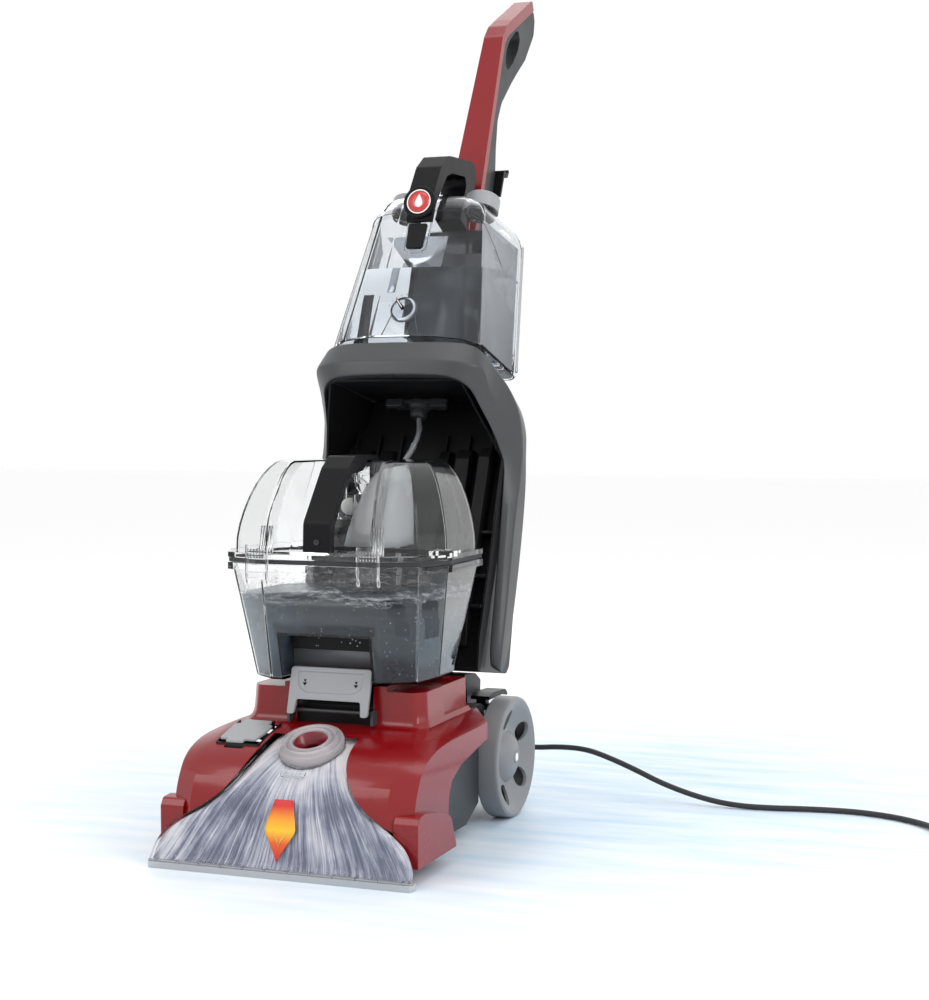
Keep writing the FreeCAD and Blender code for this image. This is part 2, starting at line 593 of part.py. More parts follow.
def make_port():
    """A stub for the cleaning hose under a hinged grey door on the left of the nose."""
    x, y = -cell("port_x"), cell("port_y")
    port = Piece("HosePort")
    low = cell("port_top") - cell("port_length")
    outer = cell("port_radius") + cell("port_wall")
    port.pad("XY_Plane", circle(x, y, outer), "Sheet.port_length", offset=low)
    port.pocket("XY_Plane", circle(x, y, cell("port_radius")), "Sheet.port_length + 2", offset="Sheet.port_top + 1")
    port.done("hose_port")

    door = Piece("PortDoor")
    hinge_y, hinge_z = cell("door_hinge_y"), cell("door_hinge_z")
    length = cell("door_length")
    plate = [
        (hinge_y - length, hinge_z - 13.5), (hinge_y - 3, hinge_z - 1), (hinge_y - 1.8, hinge_z - 4.5),
        (hinge_y - length + 1, hinge_z - 16.6),
    ]
    half = cell("door_width") / 2
    door.pad("YZ_Plane", rounded(plate, 0.8), 2 * half, offset=x, symmetric=True)
    knuckle = rounded([(hinge_y - 4, hinge_z - 4.4), (hinge_y + 2.2, hinge_z - 3), (hinge_y + 2.2, hinge_z + 1.4),
                       (hinge_y - 4, hinge_z - 0.6)], 1)
    door.pad("YZ_Plane", knuckle, 24, offset=x, symmetric=True)
    door.pocket("YZ_Plane", circle(hinge_y, hinge_z - 1.4, 1.06), 60, offset=x, symmetric=True)
    door.done("port_door")

    hinge = Piece("DoorHinge")
    hinge.pad("YZ_Plane", circle(hinge_y, hinge_z - 1.4, 1.0), 36, offset=x, symmetric=True)
    for side in (-1, 1):
        lug = rectangle(hinge_y - 2, hinge_y + 3.4, hinge_z - 8, hinge_z + 0.8, 0.8)
        hinge.pad("YZ_Plane", lug, 4, offset=x + side * 16, symmetric=True)
    hinge.done("door_hinge")


def make_base_screws():
    shapes = []
    for x, y in screw_places():
        head = rod(cell("screw_head_radius"), 2, V(x, y, 14.2), V(0, 0, 1))
        shank = rod(cell("screw_radius"), 4, V(x, y, 15.5), V(0, 0, 1))
        shapes.append(head.fuse(shank))
    shape_part("BaseScrews", "base_screws", Part.makeCompound(shapes))


# ---------------------------------------------------------------- dirty water tank

def tub_plan(share, inset=0.0):
    """The tank's outline seen from above; share is 0 at its floor and 1 at its rim."""
    low = [(70, 132), (98, 154), (104, 205), (102, 255), (80, 275)]
    high = [(68, 101), (112, 123), (130, 165), (129, 262), (100, 303)]
    points = []
    for (x0, y0), (x1, y1) in zip(low, high):
        x = x0 + share * (x1 - x0)
        y = y0 + share * (y1 - y0)
        points.append((x, y))
    return mirrored(shrink(points, inset, 205))


def shrink(points, inset, middle_y):
    """Half an outline drawn in towards (0, middle_y) by about the given wall thickness."""
    moved = []
    for x, y in points:
        reach = math.hypot(x, y - middle_y)
        moved.append((x - 1.25 * inset * x / reach, y - 1.25 * inset * (y - middle_y) / reach))
    return moved


def lid_plan(share, inset=0.0):
    """The lid's outline seen from above; share is 0 at its foot and 1 at its flat top."""
    low = [(66, 106), (110, 127), (128, 166), (127, 260), (98, 300)]
    high = [(56, 160), (80, 178), (91, 204), (88, 262), (68, 284)]
    points = []
    for (x0, y0), (x1, y1) in zip(low, high):
        points.append((x0 + share * (x1 - x0), y0 + share * (y1 - y0)))
    return mirrored(shrink(points, inset, 225))


def make_tub():
    floor, rim, wall = cell("tub_floor"), cell("tub_rim"), cell("tank_wall")
    outer = level_loft([(floor, tub_plan(0)), (rim, tub_plan(1))])
    slope = wall / (rim - floor)
    inner = level_loft([(floor + wall, tub_plan(slope, wall)), (rim + 1, tub_plan(1 + slope / 2, wall))])
    notch_outer = box(-54, 54, 90, 156, floor - 1, 240)
    notch_inner = box(-54 - wall, 54 + wall, 80, 156 + wall, floor, 240 + wall)
    tub = outer.cut(inner.cut(notch_inner)).cut(notch_outer)
    collar_outer = level_loft([(rim - 4, shrink_rim(-4.5)), (rim + 3.8, shrink_rim(-4.5))])
    collar_inner = level_loft([(rim - 5, tub_plan(0.99, 1.2)), (rim + 5, tub_plan(1.04, 1.2))])
    tub = tub.fuse(collar_outer.cut(collar_inner))
    shape_part("Tub", "tank_tub", tub)

    gasket_low, gasket_high = rim + 4.2, rim + 4.2 + cell("gasket_height")
    ring = level_loft([(gasket_low, shrink_rim(-3)), (gasket_high, shrink_rim(-3))])
    ring = ring.cut(level_loft([(gasket_low - 1, shrink_rim(3)), (gasket_high + 1, shrink_rim(3))]))
    shape_part("Gasket", "tank_gasket", ring)


def shrink_rim(inset):
    points = [p for p in tub_plan(1) if p[0] > 0]
    return mirrored(shrink(points, inset, 205))


def make_lid():
    base, top, wall = cell("lid_base"), cell("lid_top"), cell("tank_wall")
    rise = top - base
    dome = [(0, 0), (0.31, 0.08), (0.6, 0.3), (0.84, 0.6), (0.95, 0.82), (1, 1)]
    outer = [(base + rise * up, lid_plan(share)) for up, share in dome]
    inner = [(base + rise * up - wall, lid_plan(share, wall)) for up, share in dome]
    grip = [(80, base + wall), (141, base + wall), (215, top + 8), (80, top + 8)]
    grip_wall = [(80, base), (141 + wall, base), (215 + 1.3 * wall, top + 8), (80, top + 8)]
    half_grip = cell("grip_width") / 2
    outside = level_loft(outer).cut(side_prism(grip, half_grip))
    lid = outside.cut(level_loft(inner).cut(side_prism(grip_wall, half_grip + wall)))
    foot_low = cell("tub_rim") + 4.4 + cell("gasket_height")
    foot = level_loft([(foot_low, shrink_rim(-4.5)), (base, shrink_rim(-4.5))])
    foot = foot.cut(level_loft([(foot_low - 1, lid_plan(0, wall)), (base + 1, lid_plan(0, wall))]))
    lid = lid.fuse(foot)
    duct = [(150, 336), (186, 431), (262, 431), (276, 336)]
    passage = [(153, 330), (189, 426), (259, 426), (273, 330)]
    outer_duct = prism(rounded(duct, 8), YZ_TURN, V(22, 0, 0), V(38, 0, 0))
    inner_duct = prism(rounded(passage, 6), YZ_TURN, V(25, 0, 0), V(32, 0, 0))
    lid = lid.fuse(outer_duct.cut(inner_duct).common(outside))
    x, y = float_place()
    for i in range(4):
        angle = math.pi / 4 + i * math.pi / 2
        post = V(x + 14 * math.cos(angle), y + 14 * math.sin(angle), 366)
        lid = lid.fuse(rod(1.6, 64.5, post, V(0, 0, 1)))
    lid = lid.fuse(rod(16, 2.4, V(x, y, 364), V(0, 0, 1)))
    for side in (-1, 1):
        x = side * cell("latch_x")
        lid = lid.fuse(rod(1.0, 32, V(x - 16, 92.6, 337.5), V(1, 0, 0)))
        for edge in (-14.5, 14.5):
            lug = box(x + edge - 2, x + edge + 2, 90.6, 108, base, 340)
            lid = lid.fuse(lug.cut(level_loft(inner)))
    shape_part("Lid", "tank_lid", lid)

    strap = [
        (104, 334.2), (105, 366), (152, 424), (172, 438), (234, 438), (240, 432.6),
        (206, 432.6), (194, 421), (163, 418), (150, 407), (116, 363), (114, 334.2),
    ]
    half = cell("strap_width") / 2
    shape_part("Strap", "tank_handle", side_prism(strap, half, 3))

    ball = doc.addObject("Part::Feature", "FloatBall")
    ball.Shape = Part.makeSphere(10, V(float_place()[0], float_place()[1], 377))
    register(ball, "float_ball")


def float_place():
    return (-20, 238)


def make_latches():
    """Clear clips hinged on the lid's front foot, which snap over the tub's collar."""
    clip = [(90.6, 341), (94.6, 341), (94.6, 322), (94.6, 312), (92, 303), (88, 300), (90.6, 312)]
    for side, label in ((1, "latch_right"), (-1, "latch_left")):
        piece = Piece("Latch_" + label)
        piece.pad("YZ_Plane", rounded(clip, 0.8), 24, offset=side * cell("latch_x"), symmetric=True)
        piece.pocket("YZ_Plane", circle(92.6, 337.5, 1.06), 60, offset=side * cell("latch_x"), symmetric=True)
        piece.done(label)


# ---------------------------------------------------------------- handle group (leaning drawing)

def make_bezel():
    """The grey frame round the tank bay: a bowed visor on top and two side members."""
    half = cell("frame_half")
    side = [
        (-20, -4), (-30, -37), (-28, -50), (38, -84), (84, -112), (92, -215), (100, -338), (112, -364),
        (132, -374), (148, -345), (151, -268), (146, -193), (128, -124), (118, -70), (112, -4),
    ]
    frame = side_prism(side, half)
    front = mirrored([(98, -3), (104, -20), (112, -36), (130, -62), (half, -90), (half, -330), (131, -374)])
    frame = frame.common(front_prism(front, -60, 220))
    plan = mirrored([(36, -31), (84, -25), (107, -9), (half, 60), (half, 200)])
    frame = frame.common(prism(rounded(plan), FreeCAD.Rotation(), V(0, 0, -400), V(0, 0, 420)))
    bay = [(-60, -65), (112, -19), (200, -19), (200, -400), (-60, -400)]
    frame = frame.cut(side_prism(bay, 150).common(front_prism(bay_front(0), -100, 250)))
    frame = frame.cut(box(-116.4, 116.4, 117.6, 220, -420, 10))
    shelf = [(-14, -9), (106, -9), (106, -24), (-18, -60)]
    frame = frame.cut(side_prism(shelf, 80))
    frame = frame.cut(rod(11, 40, V(0, 80, -30), V(0, 0, 1)))
    shape_part("Bezel", "bezel_frame", frame, "lean")


def bay_front(inset):
    """The tank bay's opening in front view, narrowing under the visor."""
    half = cell("bay_half") - inset
    return mirrored([(80 - inset, 0), (84 - inset, -51), (half, -114), (half, -420)])


def make_liner():
    """The black lining of the tank bay: ceiling, side walls, ribbed back and floor."""
    side = [
        (-12, -53), (36, -84.6), (83, -112.6), (91.5, -215), (99.5, -338), (110, -371.6),
        (117.6, -371.6), (117.6, -18.2),
    ]
    liner = side_prism(side, 150).common(front_prism(bay_front(0.4), -100, 250))
    hollow = [(-40, -63.2), (115, -21.4), (115, -369), (-40, -369)]
    liner = liner.cut(side_prism(hollow, 150).common(front_prism(bay_front(3), -100, 250)))
    for x in (-90, -60, -30, 30, 60, 90):
        rib = box(x - 1.5, x + 1.5, 108, 115.5, -340, -70)
        liner = liner.fuse(rib)
    seat = rod(10.6, 34, V(0, 80, -44), V(0, 0, 1))
    bracket = box(-32, 32, 72, 88, -44, -28)
    liner = liner.fuse(seat).fuse(bracket)
    liner = liner.cut(rod(6, 20, V(0, 80, -22), V(0, 0, 1)))
    shape_part("Liner", "bay_liner", liner, "lean")


def make_feed_tube():
    """The clear hose from the clean tank's seat down the back of the bay."""
    route = [
        (0, 80, -46), (3, 86, -60), (12, 96, -80), (20, 103, -110), (22, 104, -160), (12, 104, -215),
        (6, 104, -270), (6, 103, -330), (5, 103, -368),
    ]
    shape_part("FeedTube", "feed_tube", bent_tube(route, 3.6), "lean")


def bent_tube(route, radius, report=None):
    """A round tube along straight runs joined by tangent arcs, each as large as its runs allow."""
    points = [V(*p) for p in route]
    edges = []
    start = points[0]
    for i in range(1, len(points) - 1):
        corner = points[i]
        back, ahead = points[i - 1] - corner, points[i + 1] - corner
        shorter = min(back.Length, ahead.Length)
        turn = math.pi - back.getAngle(ahead)
        reach = 0.45 * shorter
        bend = reach / math.tan(turn / 2)
        if report is not None:
            report.append(bend)
        entry = corner + back.normalize() * reach
        leave = corner + ahead.normalize() * reach
        inward = (entry + leave) * 0.5 - corner
        depth = math.hypot(bend, reach) - bend
        edges.append(Part.LineSegment(start, entry).toShape())
        edges.append(Part.Arc(entry, corner + inward.normalize() * depth, leave).toShape())
        start = leave
    edges.append(Part.LineSegment(start, points[-1]).toShape())
    path = Part.Wire(edges)
    heading = points[1] - points[0]
    ring = Part.Wire([Part.Circle(points[0], heading, radius).toShape()])
    tube = path.makePipeShell([ring], True, True)
    expected = math.pi * radius ** 2 * path.Length
    if abs(tube.Volume - expected) > 0.01 * expected:
        raise RuntimeError("tube volume is not its section times its length")
    return tube


def make_upright_shell():
    side = [
        (118, -371), (213.8, -342), (220, -330), (205, -260), (186, -150), (169, -60), (154, -6), (118, -6),
    ]
    inner = [
        (110, -367), (212, -338.5), (216.6, -329), (202, -260), (183, -150), (166, -60), (151.6, -9), (110, -9),
    ]
    half = cell("bay_half") - 2
    shell = side_prism(side, half, 6)
    shell = shell.cut(side_prism(inner, half - cell("wall"), 5))
    hook = [(168, -72), (186, -78), (194, -100), (190, -101), (183, -84), (166, -78)]
    shell = shell.fuse(side_prism(hook, 26, 1))
    shape_part("UprightShell", "upright_shell", shell, "lean")

    pivot_w, pivot_s = leaned(cell("pivot_y"), cell("pivot_z"))
    yoke = Piece("Yoke")
    arm = [
        (176, -358.5), (186, -360), (222, -412), (pivot_w - 6, -423), (pivot_w + 12, -421),
        (pivot_w + 18, -404), (236, -344), (214, -343),
    ]
    for side in (-1, 1):
        yoke.pad("YZ_Plane", rounded(arm, 4), 23, offset=side * 64, symmetric=True)
        pin = circle(pivot_w, pivot_s, cell("pivot_radius"))
        yoke.pad("YZ_Plane", pin, 34, offset=side * 79, symmetric=True)
    bridge = [(180, -353.8), (206, -346), (206, -352), (184, -358)]
    yoke.pad("YZ_Plane", rounded(bridge, 1), 120, symmetric=True)
    yoke.done("pivot_yoke", "lean")


def make_spine():
    """The dark back behind the clean tank, which carries the handle."""
    front = cell("spine_front")
    spine = Piece("Spine")
    plan = mirrored([(44, front), (40, 138), (30, 146)])
    spine.pad("XY_Plane", rounded(plan, 4), "Sheet.handle_foot + 3.6", offset=-3.6)
    spine.pocket("XY_Plane", rectangle(-34, 34, front + 4, 138, 4), 200, offset=216)
    spine.done("back_spine", "lean")


def handle_taper(low, high):
    """Front view of the handle: its half width from foot to apex."""
    return mirrored([(low, cell("handle_foot") - 5), (low, 240), (high, 520), (high - 1.5, 700)])


def make_handle():
    foot = cell("handle_foot") + 0.4
    seam = cell("seam")
    red = [
        (100, foot), (100, 528, 16), (107, 550), (125, 575), (184, 653, 3), (196, 643, 3), (134, 562),
        (118, 540), (seam - 2, 524), (seam - 2, foot),
    ]
    low, high = cell("handle_half_low"), cell("handle_half_high")
    taper = front_prism(handle_taper(low, high), 50, 250)
    arm = side_prism(red, 40).common(taper)
    slot = box(-5.4, 5.4, 113.8, 127, 515, 551)
    pin_hole = rod(1.56, 16, V(-8, 117.8, 545.5), V(1, 0, 0))
    shape_part("HandleFront", "handle_front", arm.cut(slot).cut(pin_hole), "lean")

    grey = [
        (seam - 1.7, foot), (seam - 1.7, 523.9), (118.3, 539.8), (134.3, 561.7), (196.3, 642.7, 3),
        (206, 634, 8), (211, 614, 8), (194, 557), (157, 492), (131, 444), (127, 411), (135, 370), (144, 340),
        (146, 300), (146, foot),
    ]
    hole = [(126, 498), (121.5, 510), (121.5, 522), (127, 541), (142, 566), (152, 575), (162, 568), (162, 551),
            (151, 522), (137, 498)]
    rear_taper = front_prism(handle_taper(low - 1, high - 0.6), 50, 250)
    grip = side_prism(grey, 40).common(rear_taper).cut(side_prism(hole, 60, 5))
    grip = grip.cut(slot)
    grip = grip.cut(rod(2.3, 300, V(0, 117.5, 230), V(0, 0, 1)).cut(box(-9, 9, 100, 140, 520, 600)))
    grip = grip.cut(pin_hole)
    grip = grip.cut(rod(4.06, 12, V(0, 137, 323), V(0, 1, 0)))
    shape_part("HandleRear", "handle_rear", grip, "lean")

    trigger = Piece("Trigger")
    side = [
        (115.6, 549), (119.6, 549.4), (123, 543), (127, 528), (127, 519), (123.6, 516.6), (120.6, 520),
        (118.4, 532), (115.4, 542),
    ]
    trigger.pad("YZ_Plane", rounded(side, 1), 9.6, symmetric=True)
    trigger.pad("YZ_Plane", circle(117.8, 545.5, 1.5), 14, symmetric=True)
    trigger.done("trigger", "lean")

    push_rod = Piece("TriggerRod")
    push_rod.pad("XY_Plane", circle(0, 117.5, 1.8), 279.5, offset=236)
    push_rod.done("trigger_rod", "lean")


def make_cord_hook():
    """The swivelling upper hook that the cord is wound round, on a short pin in the handle's back."""
    hook = Piece("CordHook")
    side = [(148.4, 303), (152.4, 303), (152.4, 343), (148.4, 343)]
    hook.pad("YZ_Plane", rounded(side, 1.5), 58, symmetric=True)
    lip = [(148.4, 339), (164, 341), (166, 352), (162, 353), (160, 345), (148.4, 343)]
    hook.pad("YZ_Plane", rounded(lip, 1.2), 58, symmetric=True)
    hook.pad("XZ_Plane", circle(0, 323, 4), 9, offset=-149)
    hook.done("cord_hook", "lean")


# ---------------------------------------------------------------- clean water tank (leaning drawing)

def clean_plan(level, inset=0.0):
    """Half the clean tank's outline seen along the lean, at its foot (0), shoulder (1) or crown (2)."""
    plans = (
        [(40, -19), (78, -10), (97, 5), (115, 90), (109, 99)],
        [(30, -19), (58, -11), (73, 3), (96, 90), (90, 99)],
        [(24, -9), (50, -3), (64, 9), (85, 84), (79, 91)],
    )
    return mirrored(shrink(plans[level], inset, 48))


def make_clean_tank():
    heights = (0.4, cell("clean_height"), cell("clean_top"))
    wall = cell("tank_wall")
    outer = level_loft([(heights[i], clean_plan(i)) for i in range(3)])
    inner_heights = (heights[0] + wall, heights[1], heights[2] - wall)
    inner = level_loft([(inner_heights[i], clean_plan(i, wall)) for i in range(3)])
    tank = outer
    x, y = cell("cap_x"), cell("cap_y")
    for side in (-1, 1):
        tank = tank.fuse(rod(cell("neck_radius") + wall, 16, V(side * x, y, heights[2] - 4), V(0, 0, 1)))
    tank = tank.cut(inner)
    for side in (-1, 1):
        tank = tank.cut(rod(cell("neck_radius"), 30, V(side * x, y, heights[2] - 8), V(0, 0, 1)))
    tank = tank.cut(rod(5, 10, V(0, 80, -2), V(0, 0, 1)))
    tank = tank.cut(rod(2.06, 12, V(0, -24, cell("dial_height")), V(0, 1, 0)))
    shape_part("CleanTank", "clean_tank", tank, "lean")

    for side, label in ((1, "cap_right"), (-1, "cap_left")):
        cap = Piece("Cap_" + label)
        centre = (side * x, y)
        top = heights[2] + 0.6
        cap.pad("XY_Plane", circle(centre[0], centre[1], cell("cap_radius")), "Sheet.cap_height", offset=top)
        inside = circle(centre[0], centre[1], cell("neck_radius") + wall + 0.4)
        cap.pocket("XY_Plane", inside, 15, offset=top - 0.1, reverse=True)
        cap.dress("Fillet", 2, lambda edge: edge.BoundBox.ZMin > top + 19 and edge.Length > 100)
        cap.done(label, "lean")


def make_carry_handle():
    half = cell("carry_width") / 2
    strap = [
        (-21, 156), (-27, 163), (-33, 197), (-26, 236, 8), (-10, 260, 8), (4, 268, 6), (68, 302, 6),
        (80, 302, 6), (86, 290, 4), (86, 212.8), (60, 212.8), (62, 266), (52, 275), (10, 251), (-4, 238),
        (-12, 212), (-20.5, 186),
    ]
    shape_part("CarryHandle", "carry_handle", side_prism(strap, half, 2), "lean")

    face = V(0, -33.6, -7).normalize()
    centre = V(0, -31.4, 180.4)
    disc = rod(cell("badge_radius"), 4.5, centre, face)
    shape_part("Badge", "badge_disc", disc, "lean")

    tab = Piece("LatchTab")
    tab.pad("XZ_Plane", rounded([(-14, 119), (14, 119), (14, 152), (-14, 152)], 3), 4, offset=23)
    tab.done("latch_tab", "lean")

    dial = Piece("Dial")
    z = cell("dial_height")
    dial.pad("XZ_Plane", circle(0, z, cell("dial_radius")), 5, offset=19.6)
    dial.pad("XZ_Plane", rounded([(-2.4, z - 14), (2.4, z - 14), (2.4, z + 14), (-2.4, z + 14)], 2), 4, offset=24.5)
    dial.pad("XZ_Plane", circle(0, z, 2), 6, offset=14)
    dial.done("mix_dial", "lean")


# ---------------------------------------------------------------- power cord

CORD_ROUTE = [
    (72, 470, 70), (79, 490, 66), (93, 504, 61), (116, 510, 58), (148, 512, 61), (184, 511, 60.5),
    (214, 510, 52), (248, 509, 39.5), (282, 508, 25), (316, 507, 14.5), (350, 506, 7), (384, 505, 3.8),
    (420, 508, 3.6), (456, 516, 3.7), (492, 522, 3.6), (528, 522, 3.6), (566, 510, 3.7), (598, 489, 3.9),
    (622, 460, 5), (636, 432, 7),
]
COIL_CENTRE = (702, 448)


def make_cord():
    x, y, z = CORD_ROUTE[0]
    flange = rod(9, 4, V(x, 436.2, z), V(0, 1, 0))
    sleeve = Part.makeCone(6.5, 4.6, y - 440.2, V(x, 440, z), V(0, 1, 0))
    shape_part("StrainRelief", "strain_relief", flange.fuse(sleeve))

    bends = []
    tube = bent_tube(CORD_ROUTE, cell("cord_radius"), bends)
    print("cord bend radii:", ", ".join("%.0f" % bend for bend in bends))
    shape_part("PowerCord", "power_cord", tube)

    cx, cy = COIL_CENTRE
    ring, tube_half = cell("coil_ring"), cell("coil_tube")
    section = [
        (ring - tube_half + 1, 0.2), (ring + tube_half - 1, 0.2), (ring + tube_half - 1, 26), (ring - tube_half + 1, 26),
    ]
    wire = Part.Wire([edge.toShape() for edge in rounded(section, 6)])
    face = Part.Face(wire)
    face.Placement = FreeCAD.Placement(V(cx, cy, 0), XZ_TURN)
    coil = face.revolve(V(cx, cy, 0), V(0, 0, 1), 360)
    shape_part("CordCoil", "cord_coil", coil)

    plug_x, plug_y = cx + 66, cy + 52
    plug = box(plug_x - 14, plug_x + 14, plug_y, plug_y + 26, 0.3, 17.3)
    plug = plug.makeFillet(4, [edge for edge in plug.Edges if edge.Length < 18])
    for side in (-1, 1):
        blade_x = plug_x + side * 6.3
        plug = plug.fuse(box(blade_x - 0.8, blade_x + 0.8, plug_y + 25, plug_y + 44, 5.6, 12))
    shape_part("CordPlug", "cord_plug", plug)


def main():
    make_hood()
    make_nozzle()
    make_deck()
    make_chassis()
    make_brushes()
    make_brush_housing()
    make_motors()
    make_wheels()
    make_pedals()
    make_rear_cover()
    make_release_handle()
    make_port()
    make_base_screws()
    make_tub()
    make_lid()
    make_latches()
    make_bezel()
    make_liner()
    make_feed_tube()
    make_upright_shell()
    make_spine()
    make_handle()
    make_cord_hook()
    make_clean_tank()
    make_carry_handle()
    make_cord()
    doc.recompute()
    for item in doc.Objects:
        if "Invalid" in item.State or "Error" in item.State:
            raise RuntimeError("failed object: " + item.Name)
    os.makedirs("parts", exist_ok=True)
    for item in SUBPARTS:
        shape = item.Shape
        if shape.isNull() or not shape.isValid():
            raise RuntimeError("bad shape: " + item.Label)
        shape.exportStep("parts/%s.step" % item.Label)
        print(item.Label, len(shape.Solids), round(shape.Volume / 1000, 1))


main()
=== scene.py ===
"""Looks of an upright carpet cleaner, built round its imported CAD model.

Places are in millimetres of two drawings, as the part's source has them. The base drawing has y = 0 at the
nozzle lip and z = 0 on the floor. The upright's drawing starts at the clean tank's foot and leans back.
"""
import math
import random

import bmesh
import bpy
from mathutils import Matrix, Vector


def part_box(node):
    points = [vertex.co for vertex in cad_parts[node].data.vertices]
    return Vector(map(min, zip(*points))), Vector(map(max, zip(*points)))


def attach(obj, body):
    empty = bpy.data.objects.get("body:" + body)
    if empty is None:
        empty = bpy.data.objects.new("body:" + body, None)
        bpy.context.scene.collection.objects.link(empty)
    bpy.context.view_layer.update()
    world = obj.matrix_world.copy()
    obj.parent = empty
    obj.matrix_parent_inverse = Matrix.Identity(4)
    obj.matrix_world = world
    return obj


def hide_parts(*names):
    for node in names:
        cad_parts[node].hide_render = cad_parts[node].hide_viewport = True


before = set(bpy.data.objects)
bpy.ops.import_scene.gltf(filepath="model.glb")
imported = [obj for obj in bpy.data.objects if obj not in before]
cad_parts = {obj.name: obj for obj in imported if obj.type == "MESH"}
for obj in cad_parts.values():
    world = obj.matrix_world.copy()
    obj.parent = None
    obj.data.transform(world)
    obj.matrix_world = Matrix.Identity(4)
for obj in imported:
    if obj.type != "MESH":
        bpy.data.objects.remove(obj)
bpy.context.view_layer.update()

LIP_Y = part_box("nozzle_lip")[0].y
LEAN = math.radians(25.9)
FOOT_Y, FOOT_Z = 357, 569
TWO_PI = 2 * math.pi
BASE = Matrix.Translation((0, LIP_Y, 0)) @ Matrix.Scale(0.001, 4)
UPRIGHT = BASE @ Matrix.Translation((0, FOOT_Y, FOOT_Z)) @ Matrix.Rotation(-LEAN, 4, "X")
DICE = random.Random(7)


def node(name):
    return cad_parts[name]


# ---------------------------------------------------------------- camera, floor and lights

# Millimetres from the base's frame, degrees and millimetres of lens.
CAMERA_PLACE = (832.7, -1670, 481.7)
CAMERA_DIP = 2.65
CAMERA_TURN = 20.44
CAMERA_LENS = 64.9


def make_camera():
    data = bpy.data.cameras.new("Camera")
    camera = bpy.data.objects.new("Camera", data)
    bpy.context.scene.collection.objects.link(camera)
    camera.location = BASE @ Vector(CAMERA_PLACE)
    camera.rotation_euler = (math.radians(90 - CAMERA_DIP), 0, math.radians(CAMERA_TURN))
    data.sensor_width = 36
    data.lens = CAMERA_LENS
    data.clip_end = 50
    bpy.context.scene.camera = camera


def area_light(name, place, target, size, power, colour=(1, 1, 1)):
    data = bpy.data.lights.new(name, "AREA")
    data.shape = "RECTANGLE"
    data.size, data.size_y = size
    data.energy = power
    data.color = colour
    light = bpy.data.objects.new(name, data)
    bpy.context.scene.collection.objects.link(light)
    light.location = place
    aim = Vector(target) - Vector(place)
    light.rotation_euler = aim.to_track_quat("-Z", "Y").to_euler()


def make_stage():
    mesh = bpy.data.meshes.new("Floor")
    reach = 12
    corners = [(-reach, -reach, 0), (reach, -reach, 0), (reach, reach, 0), (-reach, reach, 0)]
    mesh.from_pydata(corners, [], [(0, 1, 2, 3)])
    floor = bpy.data.objects.new("Floor", mesh)
    bpy.context.scene.collection.objects.link(floor)
    paint = floor_finish()
    mesh.materials.append(paint)

    world = bpy.data.worlds.new("World")
    bpy.context.scene.world = world
    world.use_nodes = True
    world.node_tree.nodes["Background"].inputs["Color"].default_value = (1, 1, 1, 1)
    world.node_tree.nodes["Background"].inputs["Strength"].default_value = 1.0
    area_light("Key", (-1.6, -2.2, 2.6), (0, 0, 0.4), (1.4, 1.4), 17)
    area_light("Side", (2.2, -0.9, 1.5), (0, 0, 0.4), (0.7, 1.8), 20)
    area_light("Top", (0.1, 0.2, 2.9), (0, 0, 0.3), (1.6, 1.2), 10)
    area_light("Back", (-0.9, 2.2, 1.8), (0, 0, 0.6), (1.2, 1.2), 8)
    bpy.context.scene.view_settings.view_transform = "Standard"


# ---------------------------------------------------------------- finishes

FINISHES = {}


def new_material(name):
    """A new material with its nodes, its links and its principled shader."""
    material = bpy.data.materials.new(name)
    material.use_nodes = True
    tree = material.node_tree
    return material, tree.nodes, tree.links, tree.nodes["Principled BSDF"]


def moulded(name, colour, roughness, grain=1500, depth=0.08, coat=0.0, metallic=0.0, tone=0.06, specular=0.5):
    if name in FINISHES:
        return FINISHES[name]
    material, nodes, links, shader = new_material(name)
    shader.inputs["Metallic"].default_value = metallic
    shader.inputs["Coat Weight"].default_value = coat
    shader.inputs["Coat Roughness"].default_value = 0.06
    shader.inputs["Specular IOR Level"].default_value = specular
    place = nodes.new("ShaderNodeTexCoord")

    cloud = nodes.new("ShaderNodeTexNoise")
    cloud.inputs["Scale"].default_value = 14
    cloud.inputs["Detail"].default_value = 5
    links.new(place.outputs["Object"], cloud.inputs["Vector"])
    blend = nodes.new("ShaderNodeMix")
    blend.data_type = "RGBA"
    blend.inputs["A"].default_value = tuple(c * (1 - tone) for c in colour) + (1,)
    blend.inputs["B"].default_value = tuple(min(1, c * (1 + tone)) for c in colour) + (1,)
    links.new(cloud.outputs["Fac"], blend.inputs["Factor"])
    links.new(blend.outputs["Result"], shader.inputs["Base Color"])

    gloss = nodes.new("ShaderNodeMapRange")
    gloss.inputs["From Min"].default_value = 0.3
    gloss.inputs["From Max"].default_value = 0.7
    gloss.inputs["To Min"].default_value = roughness * 0.85
    gloss.inputs["To Max"].default_value = min(1, roughness * 1.2)
    links.new(cloud.outputs["Fac"], gloss.inputs["Value"])
    links.new(gloss.outputs["Result"], shader.inputs["Roughness"])

    fine = nodes.new("ShaderNodeTexNoise")
    fine.inputs["Scale"].default_value = grain
    fine.inputs["Detail"].default_value = 2
    links.new(place.outputs["Object"], fine.inputs["Vector"])
    bump = nodes.new("ShaderNodeBump")
    bump.inputs["Strength"].default_value = depth
    bump.inputs["Distance"].default_value = 0.0004
    links.new(fine.outputs["Fac"], bump.inputs["Height"])
    links.new(bump.outputs["Normal"], shader.inputs["Normal"])
    FINISHES[name] = material
    return material


